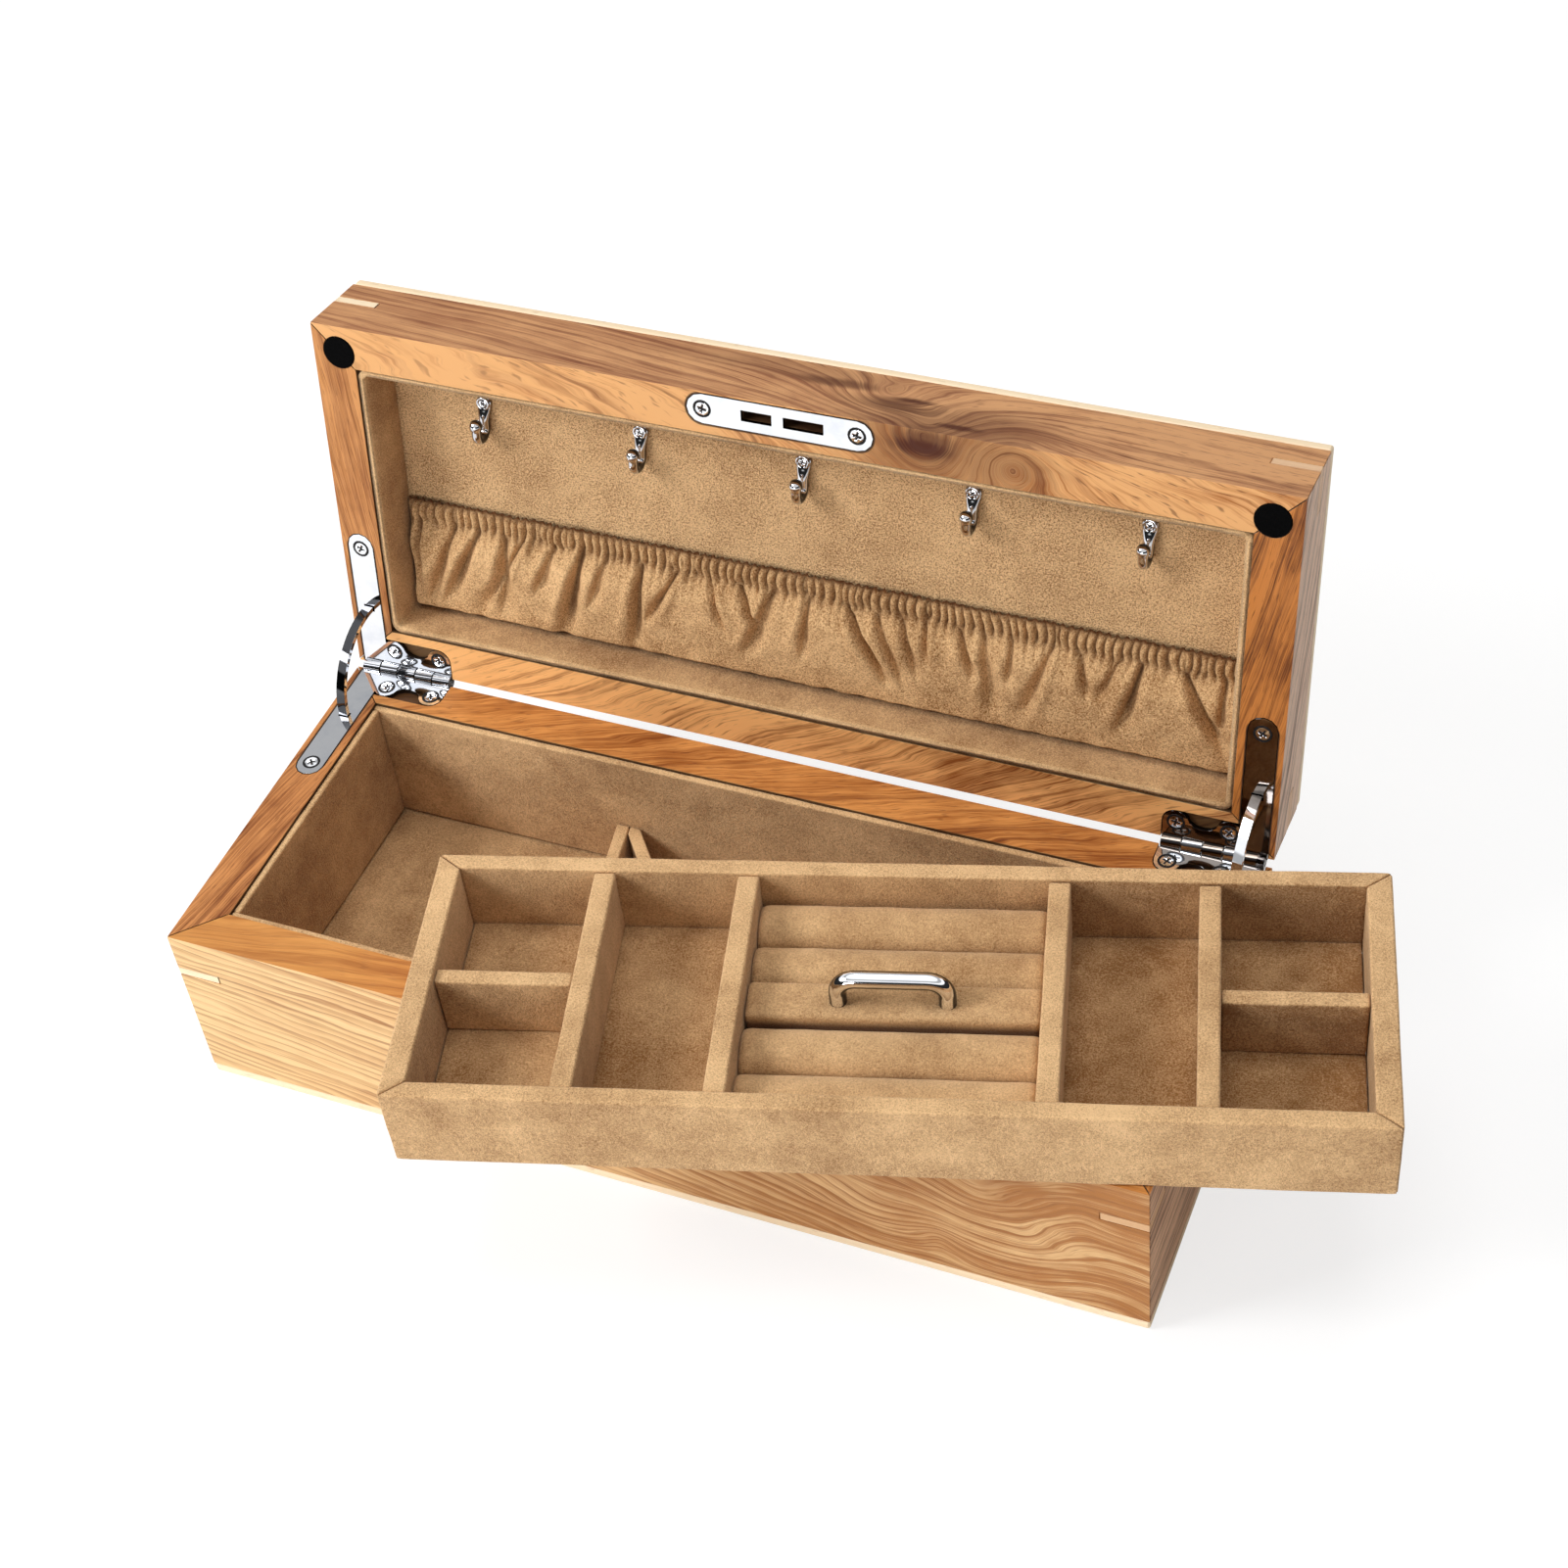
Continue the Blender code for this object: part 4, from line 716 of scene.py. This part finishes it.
# Painted shade darkens the block towards its foot, where it stands between the rolls.
cushion("handle_block", tray_square, 0.0022, 0.002, pressed_by_handle, grit=0.5, wear_and_shade=0.06,
        crease_shade=(block_top - 0.0050, -0.0036, None))

# The quadrant hinges: plated leaves let into both rims, with a knuckled barrel
# behind and a curved strip that slides through both leaves to hold the lid open.
cleaned = (tone(246, 248, 252), tone(228, 232, 240))
# The second pair of tones is painted darker, as the reflection of shaded wood and suede in a plate.
dark_reflection_tones = (tone(150, 140, 132), tone(130, 120, 112))


def plated(name, tones=cleaned, reflection_bands=None):
    """Mirror plate, with the faint waviness of polishing and fine smears from hands.

    The reflection bands are a turn, an axis, and pairs of how squarely the metal looks along
    that axis (0 to 1), between which dark reflections of the room are painted into its colour.
    """
    shine = Finish(name, Metallic=1.0)
    x, y, z = shine.axes()
    smear = shine.cloud(x * 120, y * 120, z * 120, 3, 0.6)
    body = shine.mixed(smear.between(0.35, 0.85), *tones)
    if reflection_bands:
        turn, axis, pairs = reflection_bands
        square = shine.facing(turn)[axis] ** 2
        for low, high in pairs:
            dark = square.between(low - 0.06, low + 0.02) * (1 - square.between(high - 0.02, high + 0.06))
            # Painted reflection: dark bands of the room are mixed into the metal's colour by how it faces.
            body = shine.mixed(dark * 0.93, body, tone(38, 38, 42))
    relief = shine.raised(smear, 0.00006, 0.1)
    return shine.wear(Base_Color=body, Roughness=0.03 + smear * 0.05, Normal=relief)


def hardware(name, easing, tones, reflection_bands):
    """A plated CAD piece with one crisp chamfer along its edges."""
    dress(name, plated(name, tones, reflection_bands), easing, 1, True)


# The leaves and the left stay get painted dark reflections on their edges and knuckles.
leaf_reflection_pairs = ((-1, 0.02), (0.40, 0.88))
stay_reflection_bands = {"left": (upright, 0, ((-1, 0.3),)), "right": None}
for side in ("left", "right"):
    hardware(f"hinge_leaf_box_{side}", 0.00025, cleaned, (upright, 2, leaf_reflection_pairs))
    # The lid's right leaf is painted darker, as the reflection of the shaded suede and wood it faces.
    leaf_tones = dark_reflection_tones if side == "right" else cleaned
    hardware(f"hinge_leaf_lid_{side}", 0.00025, leaf_tones, (lid_upright, 2, leaf_reflection_pairs))
    hardware(f"quadrant_stay_{side}", 0.00025, cleaned, stay_reflection_bands[side])

# Oval-headed cross-point screws hold the leaves and plates, turned down until their heads
# stand just proud of the rings of their countersinks, which are painted dark as the shade in
# them, as is the cross in each head. The heads in the box and in the lid clear each other
# when the lid is shut.
head_radius, head_rise, head_thickness, head_cells = 0.0025, 0.00022, 0.0004, 36
cross_reach, cross_width, cross_blur = 0.0017, 0.00045, (-0.00005, 0.00008)
ring_share, ring_rise, recess_share = 1.26, 0.00003, 0.12
widest_spin = 1.5
# Painted shade: a dark finish for the ring of each countersink and the cross in each head, where shade falls.
countersink_shade_finish = Finish("screw recess", Metallic=1.0)
x, y, z = countersink_shade_finish.axes()
shade_mottle = countersink_shade_finish.cloud(x * 2500, y * 2500, z * 2500, 2)
recess_tone = countersink_shade_finish.mixed(shade_mottle, tone(20, 20, 22), tone(64, 62, 62))
recess = countersink_shade_finish.wear(Base_Color=recess_tone, Roughness=0.4 + shade_mottle * 0.3)


def screw_head(name, spot, surface, body, radius=head_radius):
    """A low dome with a cross pressed into it, on a face of the box or of the shut lid."""
    turn, looks = (lid_upright, -1) if body == "lid" else (upright, 1)
    spin = draw.uniform(0, widest_spin)
    scale = radius / head_radius
    work = bmesh.new()
    bmesh.ops.create_grid(work, x_segments=head_cells, y_segments=head_cells, size=1)
    for vert in work.verts:
        a, b = vert.co.x, vert.co.y
        a, b = a * math.sqrt(1 - b * b / 2) * ring_share, b * math.sqrt(1 - a * a / 2) * ring_share
        from_middle = math.hypot(a, b)
        a, b = a * radius, b * radius
        arm = max(min(cross_width * scale - abs(b), cross_reach * scale - abs(a)),
                  min(cross_width * scale - abs(a), cross_reach * scale - abs(b)))
        rise = head_rise * max(0, 1 - from_middle ** 2) * (1 - smooth_step(arm, *cross_blur)) + ring_rise
        vert.co = (a * math.cos(spin) - b * math.sin(spin), a * math.sin(spin) + b * math.cos(spin), rise)
    # The low facets, the cross and the ring round the head, take the painted shade.
    for facet in work.faces:
        facet.material_index = 1 if facet.calc_center_median().z < ring_rise + head_rise * recess_share else 0
    bmesh.ops.scale(work, vec=(1, looks, looks), verts=work.verts)
    bmesh.ops.translate(work, vec=(*spot, surface), verts=work.verts)
    piece = skinned(name, work, plated(name), recess)
    about_hinge = Matrix.Translation(hinge_axis) @ turn.inverted().to_4x4() @ Matrix.Translation(-hinge_axis)
    piece.matrix_world = about_hinge
    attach(piece, body)
    altered(piece, "Head", "SOLIDIFY", thickness=head_thickness, offset=-1)


screw_levels = {"box": 0.0732, "lid": 0.0738}
leaf_spots = [(arm_x, arm_front), (0.1406, 0.06335), (0.1591, 0.06335)]
plate_spots = [(0.0274, -0.06395)]
for side, word in ((-1, "left"), (1, "right")):
    for part, spots in (("leaf", leaf_spots), ("lock", plate_spots)):
        for number, (x, y) in enumerate(spots, 1):
            for body, surface in screw_levels.items():
                screw_head(f"{part}_screw_{body}_{word}_{number}", (side * x, y), surface, body)

# The strike plate in the lid and the lock below it, let in flush and held by the
# same screws. The lock's key plug shows in the front wall.
for name, turn in (("lock_body", upright), ("lock_plug", upright), ("strike_plate", lid_upright)):
    # Painted reflection: the edges of the lock and the strike plate are painted dark, as the dark of the room
    # they mirror.
    hardware(name, 0.00045, cleaned, (turn, 2, ((-1, 0.88),)))

# Five cast necklace hooks on the lid's pad: a flat tongue with an eye for its
# screw, drawn out into a round J that ends in a ball.
pad_level = local_box("lid_back_pad", lid_upright)[0].z
hook_sides, bend_steps, ball_steps = 20, 12, 10
eye_radius, eye_depth, eye_thickness, hook_screw_radius = 0.0028, 0.0008, 0.0007, 0.0015
tongue = ((0.0016, 0.0010, 0.0027, 0.0010), (0.003, 0.0013, 0.0024, 0.0013),
          (0.0045, 0.0017, 0.0021, 0.0016), (0.0065, 0.0019, 0.0019, 0.0018))
stem_radius, stem_level, stem_room = 0.0018, 0.0017, 0.0015
tip_length, ball_radius = 0.0034, 0.0024
bead_reach, bead_radius, bead_level, bead_steps, bead_sides = 0.0021, 0.0006, 0.0016, 28, 10
# The hooks' plate is painted a little dimmer than the rest, as the dark they reflect.
hook_dimmed_tones = (tone(230, 231, 234), tone(196, 197, 201))


def swept(work, stations, across=Vector((1, 0, 0))):
    """A closed bar in the plane square to a direction, with its two half widths at each station."""
    rings = []
    for i, (place, half_width, half_thick) in enumerate(stations):
        ahead = Vector(stations[min(i + 1, len(stations) - 1)][0]) - Vector(stations[max(i - 1, 0)][0])
        ahead.normalize()
        out = across.cross(ahead)
        rings.append([])
        for step in range(hook_sides):
            angle = math.tau * step / hook_sides
            around = across * math.cos(angle) * half_width + out * math.sin(angle) * half_thick
            rings[-1].append(work.verts.new(Vector(place) + around))
    lofted(work, rings)


def bead(work, middle, eye_y):
    """A thin raised ring round the eye."""
    ring = []
    for i in range(bead_steps):
        for j in range(bead_sides):
            a, b = math.tau * i / bead_steps, math.tau * j / bead_sides
            reach = bead_reach + bead_radius * math.cos(b)
            ring.append(work.verts.new((middle + reach * math.cos(a), eye_y + reach * math.sin(a),
                                        pad_level - bead_level - bead_radius * math.sin(b))))
    for i in range(bead_steps):
        for j in range(bead_sides):
            i_on, j_on = (i + 1) % bead_steps, (j + 1) % bead_sides
            corners = ((i, j), (i_on, j), (i_on, j_on), (i, j_on))
            work.faces.new([ring[a * bead_sides + b] for a, b in corners])


def necklace_hook(number):
    name = f"necklace_hook_{number}"
    low, high = local_box(name, lid_upright)
    middle = (low.x + high.x) / 2
    out = pad_level - low.z
    eye_y = low.y + eye_radius
    stations = []
    for a in (0.0, 0.4, 0.8, 1.2, math.pi / 2):
        place = (middle, eye_y - eye_radius * math.cos(a), pad_level - eye_depth)
        stations.append((place, eye_radius * math.sin(a) + 0.00005, eye_thickness))
    for y, z, half_width, half_thick in tongue:
        stations.append(((middle, eye_y + y, pad_level - z), half_width, half_thick))
    bend = (out - stem_room - stem_level) / 2
    bend_y = high.y - stem_room - bend
    for step in range(bend_steps + 1):
        angle = math.pi * step / bend_steps
        level = pad_level - stem_level - bend * (1 - math.cos(angle))
        stations.append(((middle, bend_y + bend * math.sin(angle), level), stem_radius, stem_radius))
    tip_y = bend_y - tip_length
    for step in range(1, ball_steps):
        angle = math.pi * step / ball_steps
        swell = max(ball_radius * math.sin(angle), stem_radius if step < ball_steps / 2 else 0.0001)
        place = (middle, tip_y + ball_radius * math.cos(angle), pad_level - stem_level - 2 * bend)
        stations.append((place, swell, swell))
    work = bmesh.new()
    swept(work, stations)
    bead(work, middle, eye_y)
    # Painted reflection: dark bands where the hook's surface looks sideways.
    cast = plated(name, hook_dimmed_tones, (upright, 2, ((-1, 0.12),)))
    finished_piece(f"{name}_cast", work, cast, lid_upright, name)
    spot, surface = (middle, eye_y + lid_shift.y), pad_level - 0.0019 + lid_shift.z
    screw_head(f"{name}_screw", spot, surface, "lid", hook_screw_radius)


for number in range(1, 6):
    necklace_hook(number)

# The tray's handle is a plated bar bent down at both ends, on two screws that come
# up through the tray's floor and the padded block.
bar_y = (handle_low.y + handle_high.y) / 2
bar_level = handle_high.z - bar_radius
bar_bend, corner_steps, shank_radius, screw_face = 0.0062, 8, 0.0012, 0.0029
# The turn that sets where dark reflections are painted along the handle bar.
bar_reflection_turn = Matrix.Rotation(math.radians(-40), 3, "X")
left, right = handle_low.x + bar_radius, handle_high.x - bar_radius
leg = [(handle_low.z, screw_face), (handle_low.z + 0.0004, screw_face), (handle_low.z + 0.0017, shank_radius),
       (block_top - 0.002, shank_radius), (block_top - 0.0018, bar_radius), (block_top, bar_radius)]
stations = [((left, bar_y, z), radius, radius) for z, radius in leg]
for middle, start in ((left + bar_bend, math.pi), (right - bar_bend, math.pi / 2)):
    for step in range(corner_steps + 1):
        angle = start - math.pi / 2 * step / corner_steps
        height = bar_level - bar_bend + bar_bend * math.sin(angle)
        stations.append(((middle + bar_bend * math.cos(angle), bar_y, height), bar_radius, bar_radius))
stations += [((right, bar_y, z), radius, radius) for z, radius in reversed(leg)]
work = bmesh.new()
swept(work, stations, Vector((0, 1, 0)))
# Painted reflection: dark lines along the bar's edges, where it turns away from the front and above.
bar_finish = plated("tray handle", cleaned, (bar_reflection_turn, 2, ((-1, 0.24),)))
finished_piece("tray_handle_bar", work, bar_finish, tray_square, "tray_handle")

# Two discs of black felt, glued in shallow bores in the lid's front corners so
# that it closes softly.
for side in ("left", "right"):
    felt = Finish(f"bumper {side}", Specular_IOR_Level=0.03)
    x, y, z = felt.axes()
    strand = felt.cloud(x * 1500, y * 1500, z * 1500, 3, 0.7)
    body = felt.mixed(strand, tone(1, 1, 1), tone(13, 13, 14))
    relief = felt.raised(strand, 0.0003)
    dress(f"lid_bumper_{side}", felt.wear(Base_Color=body, Roughness=0.8 + strand * 0.2, Normal=relief))

# The studio: a white sweep that keeps a faint shadow, soft light from the front
# left, and the camera where the photographer's lens stood.
floor_size, floor_level = 4, -0.0003
paper = Finish("white paper", Roughness=0.9, Specular_IOR_Level=0.0, Base_Color=tone(242, 242, 242))
seen = paper.node("ShaderNodeLightPath", {}, {}, "Is Camera Ray")
mirrored = paper.node("ShaderNodeLightPath", {}, {}, "Is Glossy Ray")
x, y, z = paper.axes()
near = 1 - (x ** 2 + y ** 2).between(0.25, 0.5)
glow = paper.node("ShaderNodeEmission", {}, {"Strength": seen * 0.72 + mirrored * near * 0.75})
matt = paper.node("ShaderNodeBsdfDiffuse", {}, {"Color": tone(160, 160, 160)})
lit = paper.node("ShaderNodeAddShader", {}, {0: glow, 1: matt})
shown = paper.node("ShaderNodeMixShader", {}, {0: seen, 1: Value(paper, paper.shader.outputs[0]), 2: lit})
paper.feed(paper.tree.nodes["Material Output"].inputs["Surface"], shown)
work = bmesh.new()
bmesh.ops.create_grid(work, x_segments=1, y_segments=1, size=floor_size)
floor = skinned("floor", work, paper.material)
floor.location.z = floor_level

world = bpy.data.worlds.new("white studio")
bpy.context.scene.world = world
sky = Finish("white studio", world, Color=(1, 1, 1, 1))
height = sky.parted(sky.node("ShaderNodeTexCoord", {}, {}, "Generated"))[2]
reflected = sky.node("ShaderNodeValToRGB", {}, {0: height})
stops = reflected.socket.node.color_ramp.elements
stops.remove(stops[1])
for level, light in ((0.0, 0.02), (0.38, 0.02), (0.42, 1.1), (0.58, 1.1),
                     (0.63, 0.44), (0.76, 0.44), (0.80, 1.1)):
    stop = stops.new(level) if level else stops[0]
    stop.color = (light, light, light, 1)
mirrored = sky.node("ShaderNodeLightPath", {}, {}, "Is Glossy Ray")
chosen = sky.node("ShaderNodeMix", {}, {0: mirrored, 2: 0.36, 3: reflected})
sky.wear(Strength=chosen.larger(sky.node("ShaderNodeLightPath", {}, {}, "Is Camera Ray")))


def softbox(name, place, width, power):
    """A square lamp that faces the middle of the box."""
    lamp = bpy.data.lights.new(name, "AREA")
    lamp.shape = "SQUARE"
    lamp.size = width
    lamp.energy = power
    stand = placed(name, lamp)
    stand.location = place
    stand.rotation_euler = (Vector((0, 0, 0.06)) - Vector(place)).to_track_quat("-Z", "Y").to_euler()


softbox("key", (-1.3, -0.9, 1.3), 0.7, 25)
softbox("front", (-0.15, -1.9, 0.16), 0.8, 16)
softbox("top", (0.0, 0.1, 2.2), 1.2, 17)

azimuth, elevation, roll = (math.radians(angle) for angle in (27.4111, 45.3225, -7.6269))
back = Vector((math.sin(azimuth) * math.cos(elevation), -math.cos(azimuth) * math.cos(elevation),
               math.sin(elevation)))
level = Vector((0, 0, 1)).cross(back).normalized()
upward = back.cross(level)
across = level * math.cos(roll) + upward * math.sin(roll)
over = upward * math.cos(roll) - level * math.sin(roll)
lens = bpy.data.cameras.new("camera")
lens.sensor_width = 36
lens.lens = 64.68
camera = placed("camera", lens)
camera.matrix_world = Matrix((across, over, back)).transposed().to_4x4()
camera.location = (0.3235, -0.5598, 0.7787)
bpy.context.scene.camera = camera
bpy.context.scene.view_settings.view_transform = "Standard"
